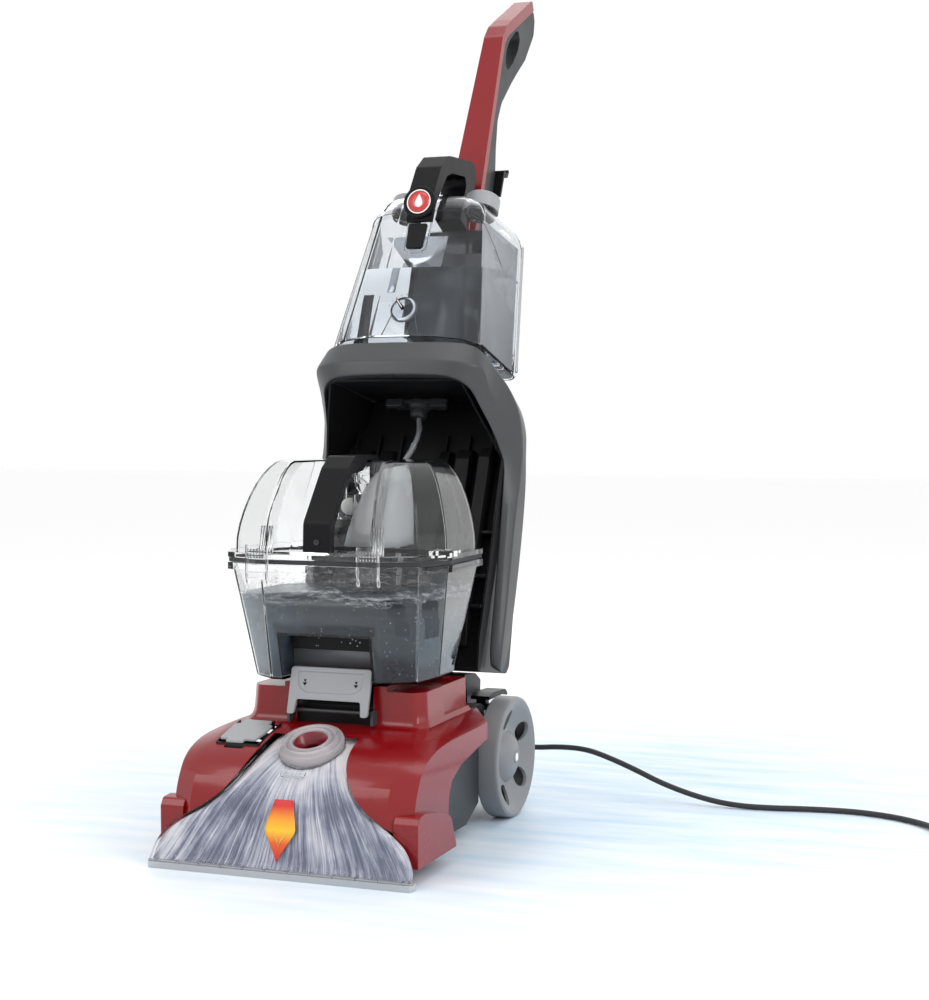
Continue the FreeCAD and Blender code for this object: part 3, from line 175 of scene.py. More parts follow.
def clear(name, colour=(0.97, 0.98, 0.98), roughness=0.02, ior=1.3, wave=0.12, scale=30):
    """Clear moulded plastic, with the slight waviness of a moulding."""
    if name in FINISHES:
        return FINISHES[name]
    material, nodes, links, shader = new_material(name)
    shader.inputs["Base Color"].default_value = colour + (1,)
    shader.inputs["Transmission Weight"].default_value = 1
    shader.inputs["IOR"].default_value = ior
    shader.inputs["Specular IOR Level"].default_value = 0.6
    place = nodes.new("ShaderNodeTexCoord")
    swirl = nodes.new("ShaderNodeTexNoise")
    swirl.inputs["Scale"].default_value = scale
    swirl.inputs["Detail"].default_value = 3
    links.new(place.outputs["Object"], swirl.inputs["Vector"])
    gloss = nodes.new("ShaderNodeMapRange")
    gloss.inputs["To Min"].default_value = roughness * 0.5
    gloss.inputs["To Max"].default_value = roughness * 1.6
    links.new(swirl.outputs["Fac"], gloss.inputs["Value"])
    links.new(gloss.outputs["Result"], shader.inputs["Roughness"])
    bump = nodes.new("ShaderNodeBump")
    bump.inputs["Strength"].default_value = wave
    bump.inputs["Distance"].default_value = 0.002
    links.new(swirl.outputs["Fac"], bump.inputs["Height"])
    links.new(bump.outputs["Normal"], shader.inputs["Normal"])
    FINISHES[name] = material
    return material


def floor_finish():
    """A white floor with a painted pale blue sheen in streaks round the machine."""
    material = moulded("floor_white", (0.97, 0.97, 0.97), 0.5, grain=300, depth=0.02, tone=0.005)
    nodes, links = material.node_tree.nodes, material.node_tree.links
    place = nodes.new("ShaderNodeTexCoord")
    stretch = nodes.new("ShaderNodeMapping")
    stretch.inputs["Rotation"].default_value = (0, 0, math.radians(20))
    stretch.inputs["Scale"].default_value = (1.6, 9, 1)
    links.new(place.outputs["Object"], stretch.inputs["Vector"])
    streaks = nodes.new("ShaderNodeTexNoise")
    streaks.inputs["Scale"].default_value = 3.2
    streaks.inputs["Detail"].default_value = 6
    links.new(stretch.outputs["Vector"], streaks.inputs["Vector"])
    reach = nodes.new("ShaderNodeVectorMath")
    reach.operation = "DISTANCE"
    links.new(place.outputs["Object"], reach.inputs[0])
    reach.inputs[1].default_value = (0.12, 0.1, 0)
    near = nodes.new("ShaderNodeMapRange")
    near.inputs["From Min"].default_value = 0.25
    near.inputs["From Max"].default_value = 0.95
    near.inputs["To Min"].default_value = 1
    near.inputs["To Max"].default_value = 0
    links.new(reach.outputs["Value"], near.inputs["Value"])
    strength = nodes.new("ShaderNodeMath")
    strength.operation = "MULTIPLY"
    links.new(near.outputs["Result"], strength.inputs[0])
    links.new(streaks.outputs["Fac"], strength.inputs[1])
    # Painted sheen: pale blue mixed into the white, strongest near the machine and broken into streaks.
    tint = nodes.new("ShaderNodeMix")
    tint.data_type = "RGBA"
    tint.inputs["A"].default_value = (0.97, 0.97, 0.97, 1)
    tint.inputs["B"].default_value = (0.33, 0.57, 0.8, 1)
    links.new(strength.outputs[0], tint.inputs["Factor"])
    links.new(tint.outputs["Result"], nodes["Principled BSDF"].inputs["Base Color"])
    return material


def red():
    return moulded("red_gloss", (0.21, 0.0022, 0.005), 0.24, coat=0.25, grain=2200, depth=0.03, tone=0.04,
                   specular=0.35)


def black():
    return moulded("black_satin", (0.004, 0.004, 0.005), 0.36, grain=1800, depth=0.08, specular=0.16)


def charcoal():
    return moulded("charcoal", (0.022, 0.024, 0.027), 0.42, grain=1600, depth=0.12, specular=0.4)


def mid_grey():
    return moulded("mid_grey", (0.04, 0.043, 0.047), 0.36, grain=1600, depth=0.1, specular=0.45)


def light_grey():
    return moulded("light_grey", (0.3, 0.31, 0.325), 0.36, grain=1600, depth=0.08)


def wheel_grey():
    return moulded("wheel_grey", (0.21, 0.215, 0.225), 0.38, grain=1500, depth=0.1)


def rubber():
    return moulded("rubber", (0.02, 0.02, 0.022), 0.6, grain=1100, depth=0.16)


def bristle_blue():
    return moulded("bristle_blue", (0.03, 0.1, 0.3), 0.5, grain=700, depth=0.3)


def steel():
    return moulded("steel", (0.6, 0.6, 0.62), 0.28, metallic=1.0, grain=700, depth=0.05)


def cast_metal():
    return moulded("cast_metal", (0.42, 0.43, 0.45), 0.45, metallic=0.9, grain=500, depth=0.25)


def clear_shell():
    return clear("clear_shell")


def smoky():
    return clear("smoky_shell", (0.86, 0.88, 0.9), 0.03)


def soften(item, width, angle=30, segments=3):
    """Round the edges of a mesh and shade it smoothly."""
    weld = item.modifiers.new("Weld", "WELD")
    weld.merge_threshold = 0.00002
    bevel = item.modifiers.new("Bevel", "BEVEL")
    bevel.width = width * 0.001
    bevel.segments = segments
    bevel.limit_method = "ANGLE"
    bevel.angle_limit = math.radians(angle)
    bevel.harden_normals = False
    for polygon in item.data.polygons:
        polygon.use_smooth = True
    normals = item.modifiers.new("Normals", "WEIGHTED_NORMAL")
    normals.keep_sharp = False


# ---------------------------------------------------------------- mesh helpers

def rounded(points, radius=0.0, steps=4):
    """A closed outline with every corner rounded; a third value in a point is that corner's own radius."""
    outline = []
    count = len(points)
    for i, point in enumerate(points):
        corner = Vector(point[:2])
        back = Vector(points[i - 1][:2]) - corner
        ahead = Vector(points[(i + 1) % count][:2]) - corner
        size = point[2] if len(point) > 2 else radius
        turn = math.pi - back.angle(ahead)
        reach = min(size * math.tan(turn / 2), 0.48 * back.length, 0.48 * ahead.length)
        reach = max(reach, 0.02)
        entry = corner + back.normalized() * reach
        leave = corner + ahead.normalized() * reach
        for k in range(steps + 1):
            t = k / steps
            outline.append((1 - t) ** 2 * entry + 2 * t * (1 - t) * corner + t * t * leave)
    return [tuple(p) for p in outline]


def mirrored(points):
    """An outline given for +x, closed with its mirror image."""
    return list(points) + [(-p[0],) + tuple(p[1:]) for p in reversed(points)]


def curve_through(points, steps=6):
    """A smooth open line through points of any dimension."""
    ends = [2 * Vector(points[0]) - Vector(points[1])] + [Vector(p) for p in points]
    ends.append(2 * Vector(points[-1]) - Vector(points[-2]))
    line = []
    for a, b, c, d in zip(ends, ends[1:], ends[2:], ends[3:]):
        for k in range(steps):
            t = k / steps
            line.append(0.5 * (2 * b + (c - a) * t + (2 * a - 5 * b + 4 * c - d) * t ** 2
                               + (3 * b - a - 3 * c + d) * t ** 3))
    line.append(ends[-2])
    return [tuple(p) for p in line]


def along(points, value, axis=0):
    """The other coordinate of a polyline where its axis coordinate has this value."""
    pairs = list(zip(points, points[1:]))
    for a, b in pairs:
        low, high = sorted((a[axis], b[axis]))
        if low <= value <= high and high > low:
            share = (value - a[axis]) / (b[axis] - a[axis])
            return a[1 - axis] + share * (b[1 - axis] - a[1 - axis])
    nearest = min(points, key=lambda p: abs(p[axis] - value))
    return nearest[1 - axis]


ORDER = {"x": (2, 0, 1), "y": (0, 2, 1), "z": (0, 1, 2)}


def slab(outline, axis, low, high):
    """Corners and faces of an outline drawn across an axis and extended along it."""
    count = len(outline)
    order = ORDER[axis]
    corners = []
    for level in (low, high):
        for a, b in outline:
            flat = (a, b, level)
            corners.append(tuple(flat[i] for i in order))
    faces = [tuple(reversed(range(count))), tuple(range(count, 2 * count))]
    for i in range(count):
        j = (i + 1) % count
        faces.append((i, j, count + j, count + i))
    return corners, faces


def loft(rings, caps=True, closed=True):
    """Corners and faces of a skin through rings of equally many points."""
    count = len(rings[0])
    corners = [tuple(p) for ring in rings for p in ring]
    faces = []
    span = count if closed else count - 1
    for level in range(len(rings) - 1):
        for i in range(span):
            j = (i + 1) % count
            a, b = level * count, (level + 1) * count
            faces.append((a + i, a + j, b + j, b + i))
    if caps:
        faces.append(tuple(reversed(range(count))))
        faces.append(tuple(range(len(corners) - count, len(corners))))
    return corners, faces


def level_rings(levels, radius, steps=4):
    """Rings for a loft from (height, outline points) pairs, every outline with the same corners."""
    rings = []
    for height, points in levels:
        rings.append([(x, y, height) for x, y in rounded(points, radius, steps)])
    return rings


def lathe(profile, segments=64):
    """Corners and faces of a closed (radius, height) outline turned about z."""
    rings = []
    for k in range(segments):
        angle = TWO_PI * k / segments
        rings.append([(r * math.cos(angle), r * math.sin(angle), h) for r, h in profile])
    corners, faces = loft(rings, caps=False)
    count = len(profile)
    last = (segments - 1) * count
    for i in range(count):
        j = (i + 1) % count
        faces.append((last + i, last + j, j, i))
    return corners, faces


def grid(rows):
    """Corners and faces of an open sheet of rows of points."""
    return loft(rows, caps=False, closed=False)


def turned(data, matrix):
    corners, faces = data
    return [tuple(matrix @ Vector(p)) for p in corners], faces


def joined(*parts):
    corners, faces = [], []
    for part_corners, part_faces in parts:
        start = len(corners)
        corners += part_corners
        faces += [tuple(start + i for i in face) for face in part_faces]
    return corners, faces


def raw_object(name, data, group):
    corners, faces = data
    mesh = bpy.data.meshes.new(name)
    mesh.from_pydata([group @ Vector(p) for p in corners], [], faces)
    shape = bmesh.new()
    shape.from_mesh(mesh)
    bmesh.ops.remove_doubles(shape, verts=shape.verts, dist=0.000002)
    bmesh.ops.recalc_face_normals(shape, faces=shape.faces)
    shape.to_mesh(mesh)
    shape.free()
    item = bpy.data.objects.new(name, mesh)
    bpy.context.scene.collection.objects.link(item)
    return item


def bake(item):
    """Make an object's modifiers part of its mesh."""
    bpy.context.view_layer.update()
    graph = bpy.context.evaluated_depsgraph_get()
    mesh = bpy.data.meshes.new_from_object(item.evaluated_get(graph))
    old = item.data
    item.modifiers.clear()
    item.data = mesh
    mesh.name = old.name
    bpy.data.meshes.remove(old)


def combine(item, data, group, operation="DIFFERENCE"):
    """Cut another shape out of a mesh, join it on, or keep what they share."""
    tool = raw_object("tool", data, group)
    change = item.modifiers.new("Change", "BOOLEAN")
    change.operation = operation
    change.object = tool
    change.solver = "EXACT"
    bake(item)
    mesh = tool.data
    bpy.data.objects.remove(tool)
    bpy.data.meshes.remove(mesh)


def subtract(item, tool):
    """Cut one mesh object out of another and remove the first."""
    change = item.modifiers.new("Hollow", "BOOLEAN")
    change.object = tool
    change.solver = "EXACT"
    bake(item)
    bpy.data.objects.remove(tool)


def thicken(item, wall, offset=-1):
    change = item.modifiers.new("Wall", "SOLIDIFY")
    change.thickness = wall * 0.001
    change.offset = offset
    change.use_even_offset = True


def taper(item, group, stops):
    """Scale a mesh's width with its height: stops are (height, share of width)."""
    shape = bmesh.new()
    shape.from_mesh(item.data)
    for height, _ in stops[1:-1]:
        point = group @ Vector((0, 0, height))
        normal = group.to_3x3() @ Vector((0, 0, 1))
        everything = shape.verts[:] + shape.edges[:] + shape.faces[:]
        bmesh.ops.bisect_plane(shape, geom=everything, plane_co=point, plane_no=normal)
    back = group.inverted()
    for vertex in shape.verts:
        vertex.co.x *= along(stops, (back @ vertex.co).z)
    shape.to_mesh(item.data)
    shape.free()


def piece(item, finish, body, replaces=(), edge=0.0, angle=30, segments=3):
    """Finish a shape: material, rounded edges, the body it rides on and the CAD nodes it stands for."""
    item.data.materials.clear()
    item.data.materials.append(finish)
    if edge:
        soften(item, edge, angle, segments)
    elif item.type == "MESH":
        for polygon in item.data.polygons:
            polygon.use_smooth = True
    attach(item, body)
    if replaces:
        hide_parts(*replaces)
    return item


def build(name, data, group, finish, body, replaces=(), edge=0.0, angle=30, segments=3):
    item = raw_object(name, data, group)
    return piece(item, finish, body, replaces, edge, angle, segments)


# ---------------------------------------------------------------- power cord

CORD_ROUTE = [
    (72, 470, 70), (79, 490, 66), (93, 504, 61), (116, 510, 58), (148, 512, 61), (184, 511, 60.5),
    (214, 510, 52), (248, 509, 39.5), (282, 508, 25), (316, 507, 14.5), (350, 506, 7), (384, 505, 3.8),
    (420, 508, 3.6), (456, 516, 3.7), (492, 522, 3.6), (528, 522, 3.6), (566, 510, 3.7), (598, 489, 3.9),
    (622, 460, 5), (636, 432, 7),
]
COIL_CENTRE = (702, 448)
COIL_RING = 49
CORD_DIAMETER = 7


def coil_points():
    """Eighteen turns in four layers, wound in and out; make_cord adds the tail towards the plug."""
    layers = (5, 4, 5, 4)
    lanes = []
    for layer, count in enumerate(layers):
        row = [COIL_RING + (i - (count - 1) / 2) * CORD_DIAMETER for i in range(count)]
        if layer % 2 == 0:
            row.reverse()
        height = CORD_DIAMETER / 2 + layer * 6.2
        lanes += [(radius, height) for radius in row]
    steps = 14
    first = math.radians(196)
    last = math.radians(360) + TWO_PI * (len(lanes) - 1)
    points = []
    for turn, (radius, height) in enumerate(lanes):
        following = lanes[min(turn + 1, len(lanes) - 1)]
        for k in range(steps):
            share = max(0.0, (k / steps - 0.7) / 0.3)
            r = radius + share * (following[0] - radius) + 0.5 * math.sin(2.1 * turn + k)
            z = height + share * (following[1] - height)
            angle = first + TWO_PI * (turn + k / steps)
            if turn == len(lanes) - 1 and angle > last:
                return points
            points.append((COIL_CENTRE[0] + r * math.cos(angle), COIL_CENTRE[1] + r * math.sin(angle), z))
    return points


def make_cord():
    spare = coil_points()
    tail = [(762, 462, 20), (766, 480, 14), (768, 500, 9)]
    route = CORD_ROUTE[:-1] + spare + tail
    data = bpy.data.curves.new("Cord", "CURVE")
    data.dimensions = "3D"
    data.bevel_depth = CORD_DIAMETER / 2000
    data.bevel_resolution = 3
    spline = data.splines.new("NURBS")
    spline.points.add(len(route) - 1)
    for point, place in zip(spline.points, route):
        point.co = (*(BASE @ Vector(place)), 1)
    spline.order_u = 3
    spline.use_endpoint_u = True
    spline.resolution_u = 6
    data.use_fill_caps = True
    cord = bpy.data.objects.new("cord", data)
    bpy.context.scene.collection.objects.link(cord)
    data.materials.append(rubber())
    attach(cord, "base")
    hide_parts("power_cord", "cord_coil")


# ---------------------------------------------------------------- more finishes

def math_node(nodes, links, operation, first, second):
    """A math node whose inputs are sockets or plain numbers."""
    result = nodes.new("ShaderNodeMath")
    result.operation = operation
    for slot, source in ((0, first), (1, second)):
        if isinstance(source, (int, float)):
            result.inputs[slot].default_value = source
        else:
            links.new(source, result.inputs[slot])
    return result.outputs[0]


def ramp_node(nodes, links, source, stops):
    ramp = nodes.new("ShaderNodeValToRGB")
    links.new(source, ramp.inputs["Fac"])
    while len(ramp.color_ramp.elements) < len(stops):
        ramp.color_ramp.elements.new(0.5)
    for element, (place, colour) in zip(ramp.color_ramp.elements, stops):
        element.position = place
        element.color = tuple(colour) + (1,)
    return ramp.outputs["Color"]


def wash():
    """Foam and dirty water that rushes up the nozzle: pale streaks that fan out from the ring."""
    material, nodes, links, shader = new_material("wash")
    shader.inputs["Roughness"].default_value = 0.3
    place = nodes.new("ShaderNodeTexCoord")
    split = nodes.new("ShaderNodeSeparateXYZ")
    links.new(place.outputs["Object"], split.inputs["Vector"])
    down = math_node(nodes, links, "SUBTRACT", 0.15, split.outputs["Z"])
    angle = math_node(nodes, links, "ARCTAN2", split.outputs["X"], down)
    side = math_node(nodes, links, "MULTIPLY", split.outputs["X"], 2.4)
    fan = math_node(nodes, links, "ADD", angle, side)
    reach = math_node(nodes, links, "MULTIPLY", down, 9.0)
    spread = nodes.new("ShaderNodeCombineXYZ")
    links.new(math_node(nodes, links, "MULTIPLY", fan, 16.0), spread.inputs["X"])
    links.new(reach, spread.inputs["Y"])
    fine = nodes.new("ShaderNodeTexNoise")
    fine.inputs["Scale"].default_value = 1.6
    fine.inputs["Detail"].default_value = 7
    fine.inputs["Roughness"].default_value = 0.72
    fine.inputs["Distortion"].default_value = 0.5
    links.new(spread.outputs["Vector"], fine.inputs["Vector"])
    broad = nodes.new("ShaderNodeTexNoise")
    broad.inputs["Scale"].default_value = 17
    broad.inputs["Detail"].default_value = 3
    links.new(place.outputs["Object"], broad.inputs["Vector"])
    edge = math_node(nodes, links, "ABSOLUTE", angle, 0)
    rim = math_node(nodes, links, "SUBTRACT", edge, 0.74)
    rim = math_node(nodes, links, "MULTIPLY", rim, 1.6)
    rim = math_node(nodes, links, "MAXIMUM", rim, 0.0)
    top = math_node(nodes, links, "SUBTRACT", split.outputs["Z"], 0.07)
    top = math_node(nodes, links, "MULTIPLY", math_node(nodes, links, "MAXIMUM", top, 0.0), 4.5)
    cloud = math_node(nodes, links, "MULTIPLY", broad.outputs["Fac"], 0.75)
    level = math_node(nodes, links, "ADD", math_node(nodes, links, "MULTIPLY", fine.outputs["Fac"], 1.25),
                      cloud)
    level = math_node(nodes, links, "ADD", level, rim)
    level = math_node(nodes, links, "ADD", level, top)
    level = math_node(nodes, links, "SUBTRACT", level, 0.6)
    stops = [(0.1, (0.06, 0.065, 0.1)), (0.36, (0.17, 0.18, 0.26)), (0.5, (0.4, 0.41, 0.5)),
             (0.64, (0.7, 0.69, 0.75)), (0.86, (0.93, 0.88, 0.9))]
    links.new(ramp_node(nodes, links, level, stops), shader.inputs["Base Color"])
    bump = nodes.new("ShaderNodeBump")
    bump.inputs["Strength"].default_value = 0.4
    bump.inputs["Distance"].default_value = 0.002
    links.new(fine.outputs["Fac"], bump.inputs["Height"])
    links.new(bump.outputs["Normal"], shader.inputs["Normal"])
    return material


def height_tint(name, low, high, stops, roughness=0.25, axis="Z", grain=60, mottle=0.12):
    """A finish whose colour runs along one axis of the row, a little mottled."""
    material, nodes, links, shader = new_material(name)
    place = nodes.new("ShaderNodeTexCoord")
    split = nodes.new("ShaderNodeSeparateXYZ")
    links.new(place.outputs["Object"], split.inputs["Vector"])
    span = nodes.new("ShaderNodeMapRange")
    span.inputs["From Min"].default_value = low
    span.inputs["From Max"].default_value = high
    links.new(split.outputs[axis], span.inputs["Value"])
    noise = nodes.new("ShaderNodeTexNoise")
    noise.inputs["Scale"].default_value = grain
    noise.inputs["Detail"].default_value = 4
    links.new(place.outputs["Object"], noise.inputs["Vector"])
    shift = math_node(nodes, links, "SUBTRACT", noise.outputs["Fac"], 0.5)
    shift = math_node(nodes, links, "MULTIPLY", shift, mottle)
    level = math_node(nodes, links, "ADD", span.outputs["Result"], shift)
    links.new(ramp_node(nodes, links, level, stops), shader.inputs["Base Color"])
    gloss = nodes.new("ShaderNodeMapRange")
    gloss.inputs["To Min"].default_value = roughness * 0.8
    gloss.inputs["To Max"].default_value = roughness * 1.3
    links.new(noise.outputs["Fac"], gloss.inputs["Value"])
    links.new(gloss.outputs["Result"], shader.inputs["Roughness"])
    return material


def dirty_water_and_painted_light():
    # Dirty water colour with painted light: lighter towards the left side (low x), darkening across to the
    # right.
    stops = [(0.0, (0.2, 0.27, 0.33)), (0.22, (0.07, 0.105, 0.14)), (0.42, (0.018, 0.03, 0.042)),
             (1.0, (0.01, 0.018, 0.027))]
    return height_tint("dirty_water_and_painted_light", -0.125, 0.125, stops, axis="X", grain=35, mottle=0.25)


def foam():
    """Thin suds: white where the noise is high, clear elsewhere."""
    material, nodes, links, shader = new_material("foam")
    shader.inputs["Base Color"].default_value = (0.8, 0.84, 0.88, 1)
    shader.inputs["Roughness"].default_value = 0.35
    place = nodes.new("ShaderNodeTexCoord")
    stretch = nodes.new("ShaderNodeMapping")
    stretch.inputs["Scale"].default_value = (1, 1, 3.2)
    links.new(place.outputs["Object"], stretch.inputs["Vector"])
    noise = nodes.new("ShaderNodeTexNoise")
    noise.inputs["Scale"].default_value = 75
    noise.inputs["Detail"].default_value = 7
    noise.inputs["Roughness"].default_value = 0.7
    links.new(stretch.outputs["Vector"], noise.inputs["Vector"])
    cover = nodes.new("ShaderNodeMapRange")
    cover.inputs["From Min"].default_value = 0.46
    cover.inputs["From Max"].default_value = 0.72
    cover.inputs["To Max"].default_value = 0.6
    links.new(noise.outputs["Fac"], cover.inputs["Value"])
    links.new(cover.outputs["Result"], shader.inputs["Alpha"])
    return material


def haze(name, colour, cover, roughness=0.25):
    """Milky translucent plastic that lets part of what is behind it through."""
    material = moulded(name, colour, roughness, grain=500, depth=0.05)
    material.node_tree.nodes["Principled BSDF"].inputs["Alpha"].default_value = cover
    return material


def frosted():
    return clear("frosted", (0.97, 0.97, 0.98), 0.3, ior=1.12, wave=0.2, scale=22)


def smoked():
    return clear("smoked_panel", (0.5, 0.52, 0.55), 0.12, ior=1.15, wave=0.05)


def pearl():
    return moulded("pearl_panel", (0.5, 0.51, 0.53), 0.3, grain=1200, depth=0.03)


def bay_black():
    return moulded("bay_black", (0.005, 0.005, 0.006), 0.5, grain=1500, depth=0.08, specular=0.2)


def slate():
    return moulded("slate", (0.1, 0.107, 0.118), 0.34, grain=1400, depth=0.06)


def white_mark():
    return moulded("white_mark", (0.85, 0.85, 0.85), 0.4, grain=900, depth=0.02)


def badge_red():
    return moulded("badge_red", (0.5, 0.02, 0.02), 0.25, coat=0.5, grain=900, depth=0.02)


def tube_along(points, radius, sides=10):
    """Corners and faces of a round bar along a line of points."""
    line = [Vector(p) for p in points]
    rings = []
    side = None
    for i, point in enumerate(line):
        heading = (line[min(i + 1, len(line) - 1)] - line[max(i - 1, 0)]).normalized()
        if side is None:
            side = heading.orthogonal().normalized()
        side = (side - heading * side.dot(heading)).normalized()
        other = heading.cross(side)
        turn = [TWO_PI * k / sides for k in range(sides)]
        rings.append([tuple(point + radius * (math.cos(a) * side + math.sin(a) * other)) for a in turn])
    return loft(rings)


def block(x_low, x_high, y_low, y_high, z_low, z_high):
    return slab([(x_low, y_low), (x_high, y_low), (x_high, y_high), (x_low, y_high)], "z", z_low, z_high)


def aimed(place, axis):
    """A matrix that puts a drawing's origin at a place with its z along an axis."""
    turn = Vector(axis).to_track_quat("Z", "Y").to_matrix().to_4x4()
    return Matrix.Translation(place) @ turn


# ---------------------------------------------------------------- nozzle

NOSE = [(3, 9), (9, 18), (17, 44), (24, 66), (33, 84), (47, 100), (68, 114), (94, 125), (120, 133)]
WINDOW_EDGE = [(151, 9), (149, 22), (140, 38), (122, 52), (98, 66), (78, 82), (64, 100), (55, 118), (50, 134)]
RING_PLACE = (0, 90, 124)
RING_AXIS = (0, -math.sin(math.radians(22)), math.cos(math.radians(22)))


def nozzle_sheet(behind, narrower, columns=28):
    """Rows of points that follow the nozzle's front, a distance behind it and in from its edge."""
    front = curve_through(NOSE, 5)
    edge = curve_through(WINDOW_EDGE, 6)
    rows = []
    for y, z in front:
        half = along(edge, z, axis=1) - narrower
        wide = [-half + 2 * half * i / (columns - 1) for i in range(columns)]
        rows.append([(x, y + behind, z - 0.45 * behind) for x in wide])
    return rows


def make_window():
    window = raw_object("nozzle_window", grid(nozzle_sheet(0, 0)), BASE)
    thicken(window, 2.4)
    bake(window)
    ring = aimed(RING_PLACE, RING_AXIS)
    circle = [(36.8 * math.cos(a), 36.8 * math.sin(a)) for a in (TWO_PI * k / 48 for k in range(48))]
    combine(window, turned(slab(circle, "z", -25, 30), ring), BASE)
    piece(window, clear("window_clear", ior=1.08, wave=0.2), "base", ["nozzle_window"])

    film = raw_object("nozzle_wash", grid(nozzle_sheet(3.4, 2.2)), BASE)
    thicken(film, 0.8)
    bake(film)
    combine(film, turned(slab(circle, "z", -25, 30), ring), BASE)
    piece(film, wash(), "base")

    profile = [
        (19, -6), (36.4, -6), (36.8, 3), (36, 7), (34.2, 7.6), (33, 5.5), (31, 5.5), (29.8, 9.4), (28, 10.6),
        (26.4, 9), (25.4, 6), (24, 6), (23, 9.6), (21.6, 10.9), (20, 10.4), (19, 9),
    ]
    ring_body = turned(lathe(profile, 72), ring)
    build("nozzle_ring", ring_body, BASE, haze("ring_haze", (0.7, 0.66, 0.69), 0.4, 0.1), "base")
    duct = [(18.6, 8), (18.6, -10), (15.4, -10), (15.4, -5), (17.6, -3.4), (17.6, 8)]
    build("ring_duct", turned(lathe(duct, 48), ring), BASE, moulded("ring_red", (0.2, 0.012, 0.02), 0.2),
          "base")
    tab = slab(rounded([(-15, -9), (13, -9), (13, -1), (-15, -1)], 2), "z", 0.4, 3.4)
    tab_place = aimed((0, 51, 104.4), (0, -0.66, 0.75))
    build("ring_tab", turned(tab, tab_place), BASE, clear_shell(), "base", edge=0.6)

    edge = curve_through(WINDOW_EDGE, 6)
    front = curve_through(NOSE, 6)
    for side, label in ((1, "right"), (-1, "left")):
        line = [(side * (x - 1.6), along(front, z, axis=1) + 0.4, z) for x, z in edge[:-4]]
        build("window_bead_" + label, tube_along(line, 1.7), BASE, frosted(), "base")


def make_shield():
    """A plain warm-coloured shield that marks the heated wash."""
    front = curve_through(NOSE, 6)
    side = [(11, 78), (12, 72), (16.5, 55), (17, 46), (10, 34), (4, 24), (0.6, 17)]
    rows = []
    for x, z in curve_through(side, 4):
        depth = along(front, z, axis=1) - 0.5
        rows.append([(-3 + x * k / 4, depth, z) for k in range(-4, 5)])
    stops = [(0.0, (0.5, 0.01, 0.01)), (0.3, (0.72, 0.1, 0.01)), (0.5, (0.88, 0.5, 0.02)),
             (0.68, (0.85, 0.32, 0.02)), (0.9, (0.6, 0.02, 0.015)), (1.0, (0.55, 0.01, 0.015))]
    shield = raw_object("heat_shield", grid(rows), BASE)
    thicken(shield, 0.4)
    piece(shield, height_tint("heat_colours", 0.017, 0.078, stops, roughness=0.3, mottle=0.05), "base")
    marks = []
    for reach in (9, 5):
        line = [(-3 - reach, 38 + reach), (-3, 27 + reach), (-3 + reach, 38 + reach)]
        marks.append(tube_along([(x, along(front, z, axis=1) - 0.9, z) for x, z in line], 0.35, 6))
    build("shield_lines", joined(*marks), BASE, moulded("amber_line", (0.85, 0.6, 0.15), 0.3), "base")


def make_lip():
    lip = [(-153, 3, 3), (-150, 0, 2), (150, 0, 2), (153, 3, 3), (153, 13.6, 2), (-153, 13.6, 2)]
    plate = raw_object("nozzle_lip", slab(rounded(lip), "z", 0, 7), BASE)
    slot = slab(rounded([(-142, 7), (142, 7), (142, 12), (-142, 12)], 2), "z", -5, 20)
    combine(plate, slot, BASE)
    piece(plate, haze("lip_haze", (0.55, 0.57, 0.6), 0.7, 0.2), "base", ["nozzle_lip"], edge=0.8)
    ledge = slab(rounded([(-152, 1), (152, 1), (152, 6.4), (-152, 6.4)], 1.5), "z", 7.2, 9)
    build("lip_ledge", ledge, BASE, light_grey(), "base", edge=0.4)
    ribs = []
    for i in range(12):
        x = -142 + i * 284 / 11
        ribs.append(block(x - 0.9, x + 0.9, 0.2, 6.8, 2, 10.6))
    build("lip_ribs", joined(*ribs), BASE, frosted(), "base", edge=0.3)


# ---------------------------------------------------------------- red shell

SHOULDER = [(20, 16), (23, 46), (28, 74), (38, 96), (54, 114), (78, 127), (112, 136), (150, 140.5)]
PANEL = [(34, 16), (37, 46), (42, 74), (50, 93), (62, 109), (82, 120), (112, 127), (150, 130)]


def hood_form(inset):
    """The shell's outside, or with an inset its hollow."""
    lift = 0.6 * inset
    shoulder = [(y + inset, z - lift) for y, z in curve_through(SHOULDER, 4)]
    panel = [(y + inset, z - lift) for y, z in curve_through(PANEL, 4)]
    shoulder += [(300, 141 - inset), (300, 16)]
    panel += [(264, 131 - inset), (264, 16)]
    rings = []
    for x, outline in ((-140 + inset, panel), (-114, shoulder), (114, shoulder), (140 - inset, panel)):
        rings.append([(x, y, z) for y, z in outline])
    return loft(rings)


